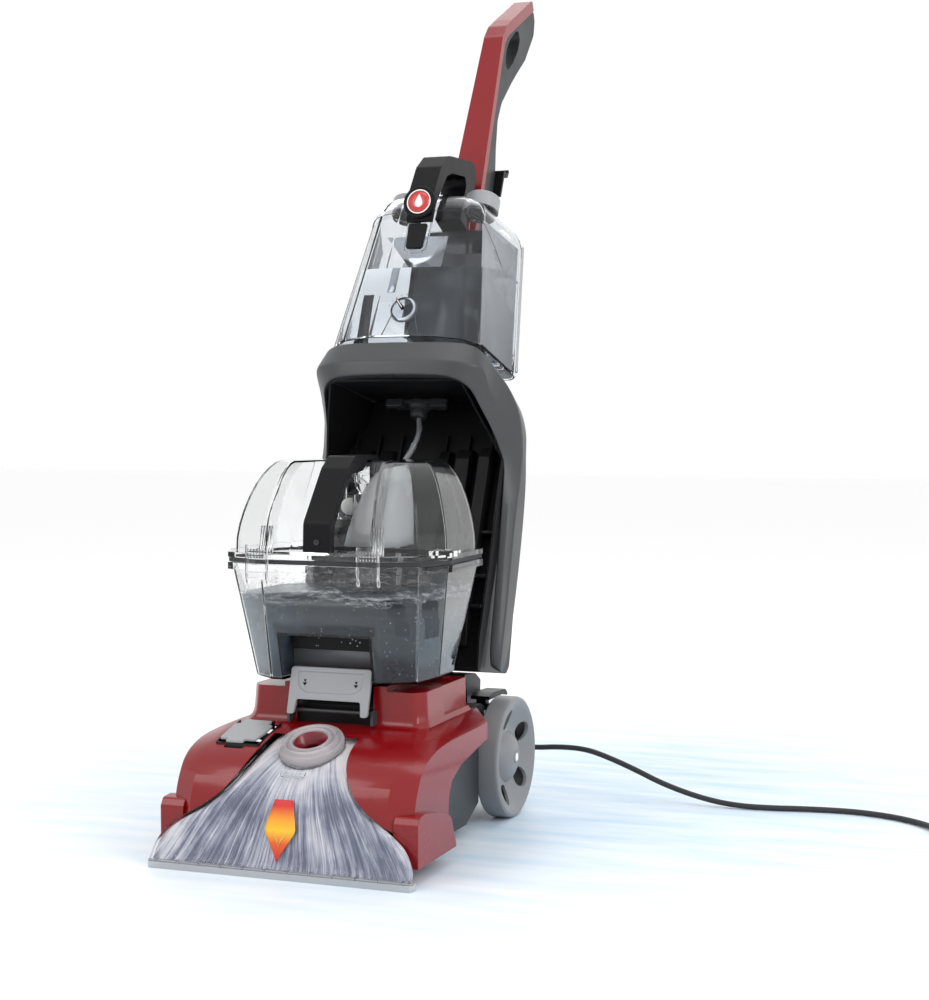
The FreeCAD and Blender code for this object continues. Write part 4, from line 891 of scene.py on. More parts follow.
def make_hood():
    hood = raw_object("hood_shell", hood_form(0), BASE)
    combine(hood, hood_form(2.6), BASE)
    skirt = [(137, -5), (139, 50), (141, 72, 6), (151, 86, 14), (177, 98, 20), (258, 112, 10), (310, 112),
             (310, -5)]
    combine(hood, slab(rounded(skirt, 2), "x", -200, 200), BASE)
    combine(hood, block(-200, 200, 0, 400, 0, 16.5), BASE)
    edge = [(x + 0.6, z) for x, z in curve_through(WINDOW_EDGE, 4)]
    edge[0] = (edge[0][0], -5)
    combine(hood, slab(mirrored(edge), "y", -20, 128), BASE)
    combine(hood, block(-46, 46, 151.6, 400, 100, 200), BASE)
    ring = aimed(RING_PLACE, RING_AXIS)
    circle = [(37.6 * math.cos(a), 37.6 * math.sin(a)) for a in (TWO_PI * k / 48 for k in range(48))]
    combine(hood, turned(slab(circle, "z", -30, 40), ring), BASE)
    combine(hood, block(-127.5, 127.5, 61.6, 122.4, 43.6, 64), BASE)
    well = [(-106, 72), (-95, 72), (-95, 66), (-72, 66), (-72, 72), (-59, 72), (-55, 90), (-55, 128),
            (-106, 128)]
    combine(hood, slab(rounded(well, 2), "z", 100, 160), BASE)
    piece(hood, red(), "base", ["hood_shell"], edge=1.6, angle=24)

    plan = [(46.3, 150.3, 1), (96, 150.3, 9), (106, 163, 8), (106, 291, 4), (46.3, 291, 1)]
    for side, label in ((1, "right"), (-1, "left")):
        levels = []
        for z, grow in ((139.5, 7), (141.5, 4.6), (144.5, 2.2), (149, 0.7), (156, 0), (176, -1.2),
                        (184, -1.6)):
            outline = [(side * (p[0] + (grow if p[0] > 50 else 0)), p[1] - (grow if p[1] < 170 else 0),
                        p[2]) for p in plan]
            levels.append((z, outline))
        tower = raw_object("tower_" + label, loft(level_rings(levels, 2)), BASE)
        seat = block(*sorted((side * 62, side * 120)), 140, 300, 178.5, 190)
        combine(tower, seat, BASE)
        groove = block(*sorted((side * 103.5, side * 120)), 212, 300, 146, 190)
        combine(tower, groove, BASE)
        piece(tower, red(), "base", edge=1.5, angle=24)

        near = [(26, 17, 2), (25.5, 62, 6), (31, 70, 5), (46, 71.5, 6), (84, 65, 6), (116, 56, 5),
                (122, 52, 4), (138, 17, 2)]
        shape = slab(rounded(near), "x", *sorted((side * 122.4, side * 150)))
        corner = raw_object("corner_block_" + label, shape, BASE)
        piece(corner, red(), "base", edge=4.5, angle=24, segments=4)


def make_door():
    slope = 12 / 46
    outline = [(-104, 76, 2), (-94, 76, 1.5), (-94, 70, 1.5), (-73, 70, 2.5), (-73, 76, 1.5), (-61, 76, 2),
               (-58, 94, 2),
               (-58, 112, 2), (-64, 114, 1), (-64, 123.5, 1.5), (-98, 123.5, 1.5), (-98, 114, 1),
               (-104, 112, 2)]
    corners, faces = slab(rounded(outline), "z", -1.7, 1.5)
    place = [(x, y, z + 129.6 + slope * (y - 76)) for x, y, z in corners]
    build("port_door", (place, faces), BASE, light_grey(), "door", ["port_door"], edge=0.9)
    forms = []
    for reach, rear, low, high in ((1.5, 129.5, -1, 13.5), (0, 140, 0, 30)):
        well = [(-106 - reach, 72 - reach), (-56 + reach, 72 - reach), (-56 + reach, rear),
                (-106 - reach, rear)]
        corners, faces = slab(rounded(well, 3), "z", low, high)
        forms.append(([(x, y, z + 114 + slope * (y - 76)) for x, y, z in corners], faces))
    tray = raw_object("door_tray", forms[0], BASE)
    combine(tray, forms[1], BASE)
    hole = [(-81 + 18.6 * math.cos(a), 97 + 18.6 * math.sin(a)) for a in (TWO_PI * k / 32 for k in range(32))]
    combine(tray, slab(hole, "z", 80, 160), BASE)
    piece(tray, black(), "base")


def make_lever():
    """The wide dished release lever with its two feet."""
    outline = [(-49, 203, 4), (49, 203, 4), (48.5, 152, 2.5), (40.5, 152, 2.5), (38.5, 168, 3),
               (-38.5, 168, 3),
               (-40.5, 152, 2.5), (-48.5, 152, 2.5)]
    lean = 11 / 37
    corners, faces = slab(rounded(outline), "y", 0, 5)
    plate = [(x, y + 131.2 + lean * (z - 166), z) for x, y, z in corners]
    lever = raw_object("release_handle", (plate, faces), BASE)
    dish = [(-41, 198, 3), (41, 198, 3), (37.5, 181, 6), (28, 175.5, 8), (-28, 175.5, 8), (-37.5, 181, 6)]
    corners, faces = slab(rounded(dish), "y", -6, 1.7)
    hollow = [(x, y + 131.2 + lean * (z - 166), z) for x, y, z in corners]
    combine(lever, (hollow, faces), BASE)
    pin = [(141 + 2.1 * math.cos(a), 155 + 2.1 * math.sin(a)) for a in (TWO_PI * k / 20 for k in range(20))]
    combine(lever, slab(pin, "x", -60, 60), BASE)
    piece(lever, light_grey(), "release", ["release_handle"], edge=1.1, angle=26)
    marks = []
    for x in (-31, 31):
        for low, high, half in ((186, 189.5, 1.6), (182.5, 186, 2.6)):
            tip = slab([(x - half, high), (x + half, high), (x, low)], "y", -0.25, 0.2)
            marks.append(([(a, b + 132.9 + lean * (c - 166), c) for a, b, c in tip[0]], tip[1]))
    build("lever_marks", joined(*marks), BASE, black(), "release")


# ---------------------------------------------------------------- dirty water tank

TUB_LOW = [(70, 132), (98, 154), (104, 205), (102, 255), (80, 275)]
TUB_HIGH = [(68, 101), (112, 123), (130, 165), (129, 262), (100, 303)]
LID_LOW = [(66, 106), (110, 127), (128, 166), (127, 260), (98, 300)]
LID_HIGH = [(56, 160), (80, 178), (91, 204), (88, 262), (68, 284)]


def plan_between(low, high, share, inset, middle):
    points = []
    for (x0, y0), (x1, y1) in zip(low, high):
        x, y = x0 + share * (x1 - x0), y0 + share * (y1 - y0)
        reach = math.hypot(x, y - middle)
        points.append((x - 1.25 * inset * x / reach, y - 1.25 * inset * (y - middle) / reach))
    return mirrored(points)


def tub_at(height, inset):
    return plan_between(TUB_LOW, TUB_HIGH, (height - 188.6) / 127.4, inset, 205)


def make_water():
    """Dirty water in the tub, its suds and the bubbles in it."""
    surface = 283
    levels = [(z, tub_at(z, 3.2)) for z in (191.8, 230, 260, surface)]
    water = raw_object("dirty_water_and_painted_light", loft(level_rings(levels, 3, 3)), BASE)
    combine(water, block(-57.5, 57.5, 80, 159.5, 180, 243.4), BASE)
    # The water's colour carries painted light, lighter towards its left side.
    piece(water, dirty_water_and_painted_light(), "dirty_tank")

    bands = []
    for low, high, inset in ((-5, 1, 3.0), (-1, 5, 3.0), (4, 8, 3.1)):
        lower, upper = [], []
        rim = rounded(tub_at(surface, inset), 3, 3)
        edge = [Vector(p) for p in rim]
        for i, point in enumerate(edge):
            ahead = edge[(i + 1) % len(edge)]
            steps = max(1, int((ahead - point).length / 5))
            for k in range(steps):
                spot = point.lerp(ahead, k / steps)
                sway = 3 * math.sin(0.06 * spot.x + 1.3) + 2 * math.sin(0.15 * spot.x + 0.05 * spot.y)
                sway += DICE.uniform(-1, 1)
                lower.append((spot.x, spot.y, surface + low + sway))
                upper.append((spot.x * 1.008, spot.y, surface + high + sway))
        bands.append(loft([lower, upper], caps=False))
    build("suds", joined(*bands), BASE, foam(), "dirty_tank")

    drops = []
    for _ in range(110):
        height = DICE.uniform(196, surface - 4)
        reach = DICE.choice((0, 0, 0, 1, 2))
        row = tub_at(height, 1.9)
        if reach == 0:
            a, b = Vector(row[-1]), Vector(row[0])
            if height < 246:
                height += 52 if height + 52 < surface - 3 else 0
        else:
            a, b = Vector(row[reach - 1]), Vector(row[reach])
        spot = a.lerp(b, DICE.uniform(0.04, 0.96))
        size = DICE.uniform(0.35, 0.9)
        ball = [(size * math.sin(math.pi * k / 5), size * math.cos(math.pi * k / 5)) for k in range(6)]
        drops.append(turned(lathe([(max(r, 0.01), h) for r, h in ball], 7),
                            Matrix.Translation((spot.x, spot.y + 1.2, height))))
    build("bubbles", joined(*drops), BASE, moulded("bubble", (0.3, 0.36, 0.42), 0.15), "dirty_tank")


def make_tub():
    levels = [(188.6, 1.6), (190.4, 0.2), (193, 0), (230, 0), (316, 0)]
    outer = raw_object("tank_tub", loft(level_rings([(z, tub_at(z, cut)) for z, cut in levels], 2.5, 3)),
                       BASE)
    combine(outer, block(-54, 54, 80, 156, 180, 240), BASE)
    inside = [(z, tub_at(z, 2.5)) for z in (191.2, 230, 320)]
    hollow = raw_object("hollow", loft(level_rings(inside, 2, 3)), BASE)
    combine(hollow, block(-56.6, 56.6, 70, 158.6, 180, 242.6), BASE)
    subtract(outer, hollow)
    collar = loft(level_rings([(312, tub_at(316, -4.5)), (319.6, tub_at(316, -4.5))], 3, 3))
    combine(outer, collar, BASE, "UNION")
    combine(outer, loft(level_rings([(311, tub_at(313, 2.4)), (322, tub_at(320, 2.4))], 2, 3)), BASE)
    piece(outer, clear_shell(), "dirty_tank", ["tank_tub"], edge=0.7, angle=20)

    recess = [(-52, 200, 2), (52, 200, 2), (52, 239, 9), (-52, 239, 9)]
    back = slab(rounded(recess), "y", 154.6, 155.6)
    build("notch_back", back, BASE, slate(), "dirty_tank")
    shade = slab(rounded([(-52, 222, 1), (52, 222, 1), (52, 239, 9), (-52, 239, 9)]), "y", 150, 154.4)
    build("notch_shade", shade, BASE, black(), "dirty_tank", edge=0.6)


DOME = [(0, 0), (0.16, 0.015), (0.3, 0.07), (0.45, 0.165), (0.6, 0.29), (0.74, 0.44), (0.85, 0.6),
        (0.93, 0.76),
        (0.98, 0.9), (1, 1.02)]


def lid_at(share, inset):
    return plan_between(LID_LOW, LID_HIGH, share, inset, 225)


def hand_recess(grown):
    """The room behind the lid's handle for the fingers."""
    levels = []
    for z, back in ((333.6 - grown, 141), (440, 215)):
        plan = [(62 + grown, 80), (62 + grown, 116), (46 + grown, back + 1.2 * grown)]
        levels.append((z, mirrored(plan)))
    return loft(level_rings(levels, 9, 4))


def make_lid():
    base, rise = 331, 101
    outer = [(base + rise * up, lid_at(share, 0)) for up, share in DOME]
    inner = [(base + rise * up - (2.2 if up else 8), lid_at(share, 2.4)) for up, share in DOME]
    lid = raw_object("tank_lid", loft(level_rings(outer, 7, 4)), BASE)
    foot = loft(level_rings([(325.6, tub_at(316, -4.5)), (331.2, tub_at(316, -4.5))], 3, 4))
    combine(lid, foot, BASE, "UNION")
    hollow = raw_object("hollow", loft(level_rings(inner, 6, 4)), BASE)
    combine(hollow, hand_recess(2.4), BASE)
    subtract(lid, hollow)
    combine(lid, hand_recess(0), BASE)
    flange = slab(rounded([(112, 148), (139, 156), (140, 176), (137, 184), (112, 184)], 2), "z", 328, 335.5)
    combine(lid, flange, BASE, "UNION")
    piece(lid, clear_shell(), "lid", ["tank_lid"], edge=0.8, angle=22)

    dome = [(337, 35, 33, 196, 46), (352, 36, 31.5, 198, 44), (375, 38.5, 28.5, 203, 40),
            (398, 42, 25, 209, 34),
            (412, 44.5, 21, 213, 27), (421, 46, 15, 216, 20), (426, 46.5, 8, 217, 10),
            (427.4, 46.5, 1, 217, 1.5)]
    rings = []
    for z, cx, rx, cy, ry in dome:
        ring = []
        for k in range(36):
            angle = TWO_PI * k / 36
            squeeze = 1 / (abs(math.cos(angle)) ** 3 + abs(math.sin(angle)) ** 3) ** (1 / 3)
            ring.append((cx + rx * squeeze * math.cos(angle), cy + ry * squeeze * math.sin(angle), z))
        rings.append(ring)
    build("air_duct", loft(rings), BASE, haze("duct_haze", (0.7, 0.71, 0.73), 0.42), "lid")
    sheet = [(-2, 248), (22, 248), (24, 252), (-2, 252)]
    build("lid_baffle", slab(sheet, "z", 340, 410), BASE, slate(), "lid", edge=0.6)
    posts = []
    for i in range(4):
        angle = math.pi / 4 + i * math.pi / 2
        x, y = -20 + 14 * math.cos(angle), 238 + 14 * math.sin(angle)
        posts.append(tube_along([(x, y, 364), (x, y, 428)], 1.5, 10))
    posts.append(turned(lathe([(12, 0), (16, 0), (16, 2.2), (12, 2.2)], 40),
                        Matrix.Translation((-20, 238, 363))))
    posts.append(block(-36, 10, 225.4, 227, 404, 424))
    posts.append(block(-6, -2, 200, 246, 392, 426))
    build("float_cage", joined(*posts), BASE, clear_shell(), "lid")

    strap = [(104, 334.2, 1), (105, 366, 12), (152, 424, 16), (172, 438, 10), (234, 438, 3), (240, 432.7, 1),
             (206, 432.7, 5), (194, 421, 7), (163, 418, 9), (150, 407, 10), (116, 363, 12), (114, 334.2, 1)]
    handle = raw_object("tank_handle", slab(rounded(strap), "x", -16.5, 16.5), BASE)
    piece(handle, black(), "lid", ["tank_handle"], edge=2.6, angle=26, segments=4)
    dimple = lathe([(0.01, 0), (3.1, 0), (3.4, 1), (2.6, 1.3), (2, 0.7), (0.01, 0.7)], 24)
    build("strap_screw", turned(dimple, aimed((0, 104.3, 345), (0, -1, 0))), BASE, charcoal(), "lid")


def make_gasket():
    outer = level_rings([(320.4, tub_at(316, -3.4)), (325.2, tub_at(316, -3.4))], 3, 4)
    gasket = raw_object("tank_gasket", loft(outer), BASE)
    combine(gasket, loft(level_rings([(318, tub_at(316, 3)), (328, tub_at(316, 3))], 3, 4)), BASE)
    piece(gasket, rubber(), "dirty_tank", ["tank_gasket"], edge=0.8)


def make_clips():
    for side, label in ((1, "right"), (-1, "left")):
        x = side * 66
        plate = [(90.8, 341), (93.8, 341.4), (94.4, 330), (94.4, 313), (92, 306), (89.6, 306), (91, 313),
                 (90.8, 330)]
        clip = [slab(rounded(plate, 0.8), "x", x - 12, x + 12)]
        hook = [(88.8, 342), (93.6, 342), (94, 322), (93, 310), (96, 303), (93.6, 298), (89, 303),
                (88.4, 314)]
        for edge in (-12.8, 11.2):
            clip.append(slab(rounded(hook, 1.2), "x", x + edge, x + edge + 1.6))
        for row in range(3):
            for step in range(6):
                left = x - 10.5 + 3.6 * step
                clip.append(block(left, left + 2.4, 89.4, 91, 327 + 4 * row, 329.4 + 4 * row))
        ribs = []
        for rib in range(5):
            left = x - 1 + 3.1 * rib
            fin = [(98, 332), (107, 332), (107.4, 362), (105, 362)]
            ribs.append(slab(rounded(fin, 0.8), "x", left, left + 0.9))
        build("latch_" + label, joined(*clip), BASE, clear_shell(), "clip_" + label,
              ["latch_" + label], edge=0.25)
        build("lid_ribs_" + label, joined(*ribs), BASE, clear_shell(), "lid")


# ---------------------------------------------------------------- upright

BEZEL = [
    # outer edge, crest and inner edge as (x, w, s), then the depth and height of the back
    ((0, -19, -6), (0, -31, -38), (0, -28, -55), (112, -6), (112, -22)),
    ((60, -17, -6), (62, -29, -38), (58, -26, -55.5), (112, -6), (112, -22)),
    ((88, -11, -7), (90, -22, -38.5), (80, -19, -57), (112, -7), (112, -24)),
    ((102, 0, -12), (108, -6, -38), (94, -2, -62), (112, -12), (112, -36)),
    ((113, 26, -22), (112, 26, -54), (101, 24, -74), (112, -24), (112, -58)),
    ((123, 56, -34), (119, 62, -70), (108, 52, -88), (114, -42), (112, -80)),
    ((130, 82, -54), (125, 84, -88), (113, 72, -102), (118, -66), (114, -102)),
    ((133, 102, -88), (127, 94, -108), (117, 86, -118), (122, -96), (115, -124)),
    ((134, 108, -126), (127, 100, -140), (118, 94, -146), (132, -126), (116.4, -146)),
    ((134, 111, -170), (127, 104, -176), (118.5, 101, -180), (143, -170), (117, -180)),
    ((134, 119, -225), (127, 112, -228), (119, 111, -230), (152, -225), (124, -230)),
    ((134, 129, -285), (127, 123, -286), (119, 122, -286), (158, -285), (134, -286)),
    ((133.5, 137, -338), (127, 132, -336), (119.5, 131, -336), (159, -338), (142, -336)),
    ((131, 146, -360), (126, 142, -357), (120, 141, -356), (157, -360), (148, -356)),
]


def make_bezel():
    """The bowed grey frame: a closed section carried over the bay like an arch."""
    flat = []
    for outer, crest, inner, back, inner_back in BEZEL:
        flat.append(outer + crest + inner + back + inner_back)
    half = curve_through(flat, 4)
    rings = []
    for sign, stations in ((-1, reversed(half)), (1, half[1:])):
        for p in stations:
            xo, wo, so, xc, wc, sc, xi, wi, si, wb, sb, wq, sq = p
            ring = [(xo, wo, so), (xc, wc, sc), (xi, wi, si), (xi, wq, sq), (xo, wb, sb)]
            rings.append([(sign * x, w, s) for x, w, s in ring])
    frame_piece = raw_object("bezel_frame", loft(rings), UPRIGHT)
    combine(frame_piece, turned(lathe([(0.01, -60), (10.8, -60), (10.8, 40), (0.01, 40)], 32),
                                Matrix.Translation((0, 80, 0))),
            UPRIGHT)
    piece(frame_piece, mid_grey(), "upright", ["bezel_frame"], edge=2.4, angle=22, segments=3)


def make_bay():
    """Ribs, ledges, the feed socket and the clear hose at the back of the tank bay."""
    parts = []
    for x, width, depth in ((-74, 20, 92), (-44, 16, 97), (34, 14, 96), (62, 18, 90), (92, 14, 84)):
        rib = [(depth + 6, -96), (depth, -110), (depth + 4, -200), (depth + 8, -300), (108, -344),
               (113, -344), (113, -90)]
        parts.append(slab(rounded(rib, 3), "x", x - width / 2, x + width / 2))
    for s in (-206, -262, -300):
        parts.append(block(70, 114, 96, 112, s, s + 5))
        parts.append(block(-114, -70, 96, 112, s, s + 5))
    inner = raw_object("bay_ribs", joined(*parts), UPRIGHT)
    piece(inner, bay_black(), "upright", edge=1.4)
    socket = lathe([(0.01, -62), (9, -62), (11, -58), (11, -50), (14.5, -48), (14.5, -41), (0.01, -41)], 36)
    plate = block(-33, 33, 66, 88, -46, -41)
    wings = joined(block(-40, -18, 62, 70, -52, -42), block(18, 40, 62, 70, -52, -42))
    parts = joined(turned(socket, Matrix.Translation((0, 78, 0))), plate, wings)
    build("feed_socket", parts, UPRIGHT, charcoal(), "upright", edge=1)
    route = [(0, 79, -58), (3, 77, -68), (8, 70, -84), (6, 66, -106), (-6, 70, -130), (-16, 84, -162),
             (-14, 96, -200),
             (-2, 100, -240), (5, 102, -300), (5, 102, -362)]
    line = curve_through(route, 5)
    build("feed_tube", tube_along(line, 3.6, 14), UPRIGHT,
          clear("hose_clear", (0.95, 0.96, 0.97), 0.04, ior=1.35),
          "upright", ["feed_tube"])
    build("hose_core", tube_along(line, 2.2, 10), UPRIGHT, light_grey(), "upright")


def make_back_shell():
    """The hollow cover behind the bay, narrower towards its top."""
    outside = [(118, -371, 2), (213.8, -342, 8), (220, -330, 6), (205, -260, 40), (186, -150, 60),
               (169, -60, 20),
               (154, -6, 8), (118, -6, 2)]
    inside = [(110, -367), (211.6, -338), (216.4, -329), (202, -260), (183, -150), (166, -60), (151.4, -9),
              (110, -9)]
    cover = raw_object("upright_shell", slab(rounded(outside), "x", -116, 116), UPRIGHT)
    combine(cover, slab(inside, "x", -113, 113), UPRIGHT)
    taper(cover, UPRIGHT, [(-400, 1), (-190, 1), (-110, 0.95), (-50, 0.87), (10, 0.8)])
    piece(cover, charcoal(), "upright", ["upright_shell"], edge=2.4, angle=30)


# ---------------------------------------------------------------- clean water tank

CLEAN_LOW = [(40, -19), (78, -10), (97, 5), (115, 90), (109, 99)]
CLEAN_HIGH = [(30, -19), (58, -11), (73, 3), (96, 90), (90, 99)]


def clean_at(height, inset):
    return plan_between(CLEAN_LOW, CLEAN_HIGH, (height - 0.4) / 189.6, inset, 48)


def make_clean_tank():
    shoulder = [(0.4, 1.2), (2.4, 0), (60, 0), (120, 0), (170, 0), (184, 0.6), (194, 3), (202, 7),
                (208, 12.5), (212, 20)]
    outer = [(z, clean_at(z, cut)) for z, cut in shoulder]
    inner = [(z - (2.4 if z > 150 else -2.4 if z < 2 else 0), clean_at(z, cut + 2.5)) for z, cut in shoulder]
    tank = raw_object("clean_tank", loft(level_rings(outer, 9, 4)), UPRIGHT)
    combine(tank, loft(level_rings(inner, 8, 4)), UPRIGHT)
    for x in (-50, 50):
        neck = lathe([(16, 206), (18.6, 206), (18.6, 224), (16, 224)], 40)
        combine(tank, turned(lathe([(0.01, 200), (16.2, 200), (16.2, 216), (0.01, 216)], 40),
                             Matrix.Translation((x, 45, 0))),
                UPRIGHT)
        build("neck_%s" % ("right" if x > 0 else "left"), turned(neck, Matrix.Translation((x, 45, 0))),
              UPRIGHT,
              clear_shell(), "clean")
    combine(tank, turned(lathe([(0.01, -6), (5, -6), (5, 8), (0.01, 8)], 24), Matrix.Translation((0, 80, 0))),
            UPRIGHT)
    piece(tank, smoky(), "clean", ["clean_tank"], edge=0.8, angle=24)

    for side, label in ((1, "right"), (-1, "left")):
        seam = [(side * 4, -19.4, 176), (side * 40, -16.6, 176), (side * 62, -9.6, 175), (side * 74, 3, 168),
                (side * 84, 42, 140), (side * 92, 70, 116)]
        line = []
        for x, w, s in curve_through(seam, 5):
            line.append((x * 1.01, w - 0.3, s))
        build("tank_seam_" + label, tube_along(line, 0.45, 6), UPRIGHT, charcoal(), "clean")
        bead = []
        for i in range(14):
            s = 6 + i * 178 / 13
            x, w = clean_at(s, -0.4)[3]
            bead.append((side * x, w - 2, s))
        build("tank_flange_" + label, tube_along(bead, 1.5, 10), UPRIGHT, smoked(), "clean")

    funnel = [(-66, 172), (-22, 118), (12, 112), (16, 172)]
    build("funnel_panel", slab(funnel, "y", 34, 35), UPRIGHT, smoked(), "clean")
    level = raw_object("clean_water", loft(level_rings([(3.6, clean_at(3.6, 3)), (50, clean_at(50, 3)),
                                                        (132, clean_at(132, 3))], 7, 4)), UPRIGHT)
    cut = [(-40, 86), (120, 163), (120, 300), (-40, 300)]
    combine(level, slab(cut, "x", -150, 150), UPRIGHT)
    piece(level, clear("clean_water", (0.9, 0.93, 0.96), 0.01, ior=1.2, wave=0.03), "clean")
    stripes = [
        ("inner_strip_low", [(-88, 4), (-72, 4), (-68, 90), (-82, 90)], 60, slate()),
        ("inner_strip_high", [(-56, 94), (-46, 94), (-40, 150), (-50, 150)], 60, smoked()),
        ("inner_back", [(-34, 4), (50, 4), (42, 180), (-30, 180)], 92, slate()),
    ]
    for side, label in ((1, "right"), (-1, "left")):
        rings = []
        for s in (6, 178):
            plan = clean_at(s, 4.5)
            (x0, w0), (x1, w1) = plan[2], plan[3]
            rings.append([(side * x, w, s) for x, w in ((x0, w0 + 6), (x1, w1 - 6), (x1 - 1, w1 - 6),
                                                        (x0 - 1, w0 + 6))])
        build("side_panel_" + label, loft(rings), UPRIGHT, pearl(), "clean")
    for name, outline, w, finish in stripes:
        build(name, slab(outline, "y", w, w + 1.2), UPRIGHT, finish, "clean")


def make_carry_handle():
    strap = [(-21, 156, 3), (-27, 163, 4), (-33, 197, 10), (-26, 236, 12), (-10, 262, 12), (4, 270, 8),
             (68, 304, 12),
             (82, 303, 10), (88, 288, 10), (88, 212.8, 1), (58, 212.8, 1), (60, 262, 8), (52, 271, 6),
             (10, 249, 10),
             (-4, 236, 10), (-12, 212, 10), (-20.5, 186, 6)]
    handle = raw_object("carry_handle", slab(rounded(strap), "x", -17, 17), UPRIGHT)
    piece(handle, black(), "clean", ["carry_handle"], edge=4.2, angle=26, segments=4)

    place = aimed((0, -31.4, 180.4), (0, -33.6, -7))
    disc = [(0.01, 0), (21, 0), (21.4, 1.5), (20.4, 4.4), (17.6, 5), (16.8, 4), (0.01, 4)]
    build("badge_disc", turned(lathe(disc, 64), place), UPRIGHT, black(), "clean", ["badge_disc"])
    face = lathe([(0.01, 4.1), (14.2, 4.1), (14.2, 4.8), (0.01, 4.8)], 48)
    build("badge_face", turned(face, place), UPRIGHT, badge_red(), "clean")
    ring = lathe([(14.3, 4), (15.6, 4), (15.6, 5.1), (14.3, 5.1)], 48)
    drop = [(0, 9.5), (3.4, 3.5), (5, -1), (4.4, -4.6), (2.2, -6.8), (0, -7.4)]
    outline = curve_through(drop, 4)
    shape = slab(outline + [(-x, y) for x, y in reversed(outline[1:-1])], "z", 4.7, 5.3)
    upright_turn = place @ Matrix.Rotation(math.pi, 4, "Z")
    tip = upright_turn @ Vector((0, 9.5, 5))
    if tip.z < 180:
        upright_turn = place
    build("badge_mark", joined(turned(ring, place), turned(shape, upright_turn)), UPRIGHT, white_mark(),
          "clean")

    tab = [(-12.5, 154, 3), (12.5, 154, 3), (11, 119, 5), (-11, 119, 5)]
    latch = raw_object("latch_tab", slab(rounded(tab), "y", -27, -22.4), UPRIGHT)
    piece(latch, black(), "tab", ["latch_tab"], edge=1.4)
    rim = [(-15.5, 160), (-14, 122, 6), (-9, 115.5, 6), (9, 115.5, 6), (14, 122, 6), (15.5, 160)]
    outline = rounded(rim, 4)
    line = [(x, -20.6, s) for x, s in outline]
    build("tab_recess", tube_along(line, 0.9, 8), UPRIGHT, frosted(), "clean")


def make_dial():
    place = aimed((0, -19.6, 36), (0, -1, 0))
    body = lathe([(0.01, -1), (15.6, -1), (16, 0), (16, 4.4), (14.6, 5.4), (12.6, 5.4), (12.2, 4.6),
                  (0.01, 4.6)], 48)
    build("mix_dial", turned(body, place), UPRIGHT, clear("dial_clear", (0.8, 0.82, 0.85), 0.1, ior=1.2),
          "dial",
          ["mix_dial"])
    turn = Matrix.Translation((0, 0, 36)) @ Matrix.Rotation(math.radians(-38), 4, "Y")
    pointer = turned(slab(rounded([(-2.4, -2), (2.4, -2), (1.2, 15), (-1.2, 15)], 1), "y", -28.2, -24.4),
                     turn)
    build("dial_pointer", pointer, UPRIGHT, black(), "dial", edge=0.5)
    bright = turned(slab([(-0.5, 0), (0.5, 0), (0.5, 13), (-0.5, 13)], "y", -28.6, -28.1), turn)
    build("pointer_line", bright, UPRIGHT, white_mark(), "dial")
    outline = lathe([(16.2, 0.6), (17, 0.6), (17, 1.6), (16.2, 1.6)], 48)
    wedge = [(-24, 2), (-15.4, 30), (-14.6, 30), (-23, 2)]
    edges = [turned(outline, place), slab(wedge, "y", -20.6, -19.6)]
    edges.append(slab([(-x, s) for x, s in reversed(wedge)], "y", -20.6, -19.6))
    for k in range(9):
        angle = math.radians(-70 + 140 * k / 8)
        x, s = 22 * math.sin(angle), 36 + 22 * math.cos(angle)
        edges.append(slab([(x - 0.5, s - 0.5), (x + 0.5, s - 0.5), (x + 0.5, s + 0.5), (x - 0.5, s + 0.5)],
                          "y", -20.2, -19.4))
    build("dial_marks", joined(*edges), UPRIGHT, slate(), "clean")


# ---------------------------------------------------------------- handle

def make_handle():
    red_side = [(100, 222.4, 0.5), (100, 528, 26), (107, 550, 30), (125, 575, 20), (184, 653, 5),
                (196, 643, 4),
                (134, 562, 20), (118, 540, 20), (112.2, 524, 6), (112.2, 222.4, 0.5)]
    front = raw_object("handle_front", slab(rounded(red_side, 0.5, 5), "x", -22, 22), UPRIGHT)
    taper(front, UPRIGHT, [(215, 1), (240, 1), (520, 14 / 22), (700, 12.6 / 22)])
    combine(front, block(-5.4, 5.4, 113.8, 127, 515, 551), UPRIGHT)
    piece(front, red(), "upright", ["handle_front"], edge=3.4, angle=30, segments=3)

    grey = [(112.5, 222.4, 0.5), (112.5, 523.9, 6), (118.3, 539.8, 20), (134.3, 561.7, 20), (196.3, 642.7, 4),
            (206, 634, 8), (211, 612, 20), (194, 557, 30), (157, 492, 30), (131, 440, 40), (126, 408, 30),
            (134, 368, 30), (144, 336, 20), (146, 300, 20), (146, 222.4, 0.5)]
    rear = raw_object("handle_rear", slab(rounded(grey, 0.5, 5), "x", -21, 21), UPRIGHT)
    taper(rear, UPRIGHT, [(215, 1), (240, 1), (520, 13.4 / 21), (700, 12 / 21)])
    hole = [(126, 498, 8), (121.5, 510, 5), (121.5, 522, 5), (127, 541, 8), (142, 566, 8), (152, 576, 7),
            (163, 568, 8),
            (162, 549, 10), (151, 520, 12), (137, 498, 8)]
    combine(rear, slab(rounded(hole), "x", -40, 40), UPRIGHT)
    combine(rear, block(-5.4, 5.4, 110, 126.8, 515, 551), UPRIGHT)
    combine(rear, turned(lathe([(0.01, 0), (4.1, 0), (4.1, 14), (0.01, 14)], 24),
                         aimed((0, 136.6, 323), (0, 1, 0))), UPRIGHT)
    piece(rear, charcoal(), "upright", ["handle_rear"], edge=3, angle=30, segments=3)


# ---------------------------------------------------------------- wheels, brushes, plug and relief

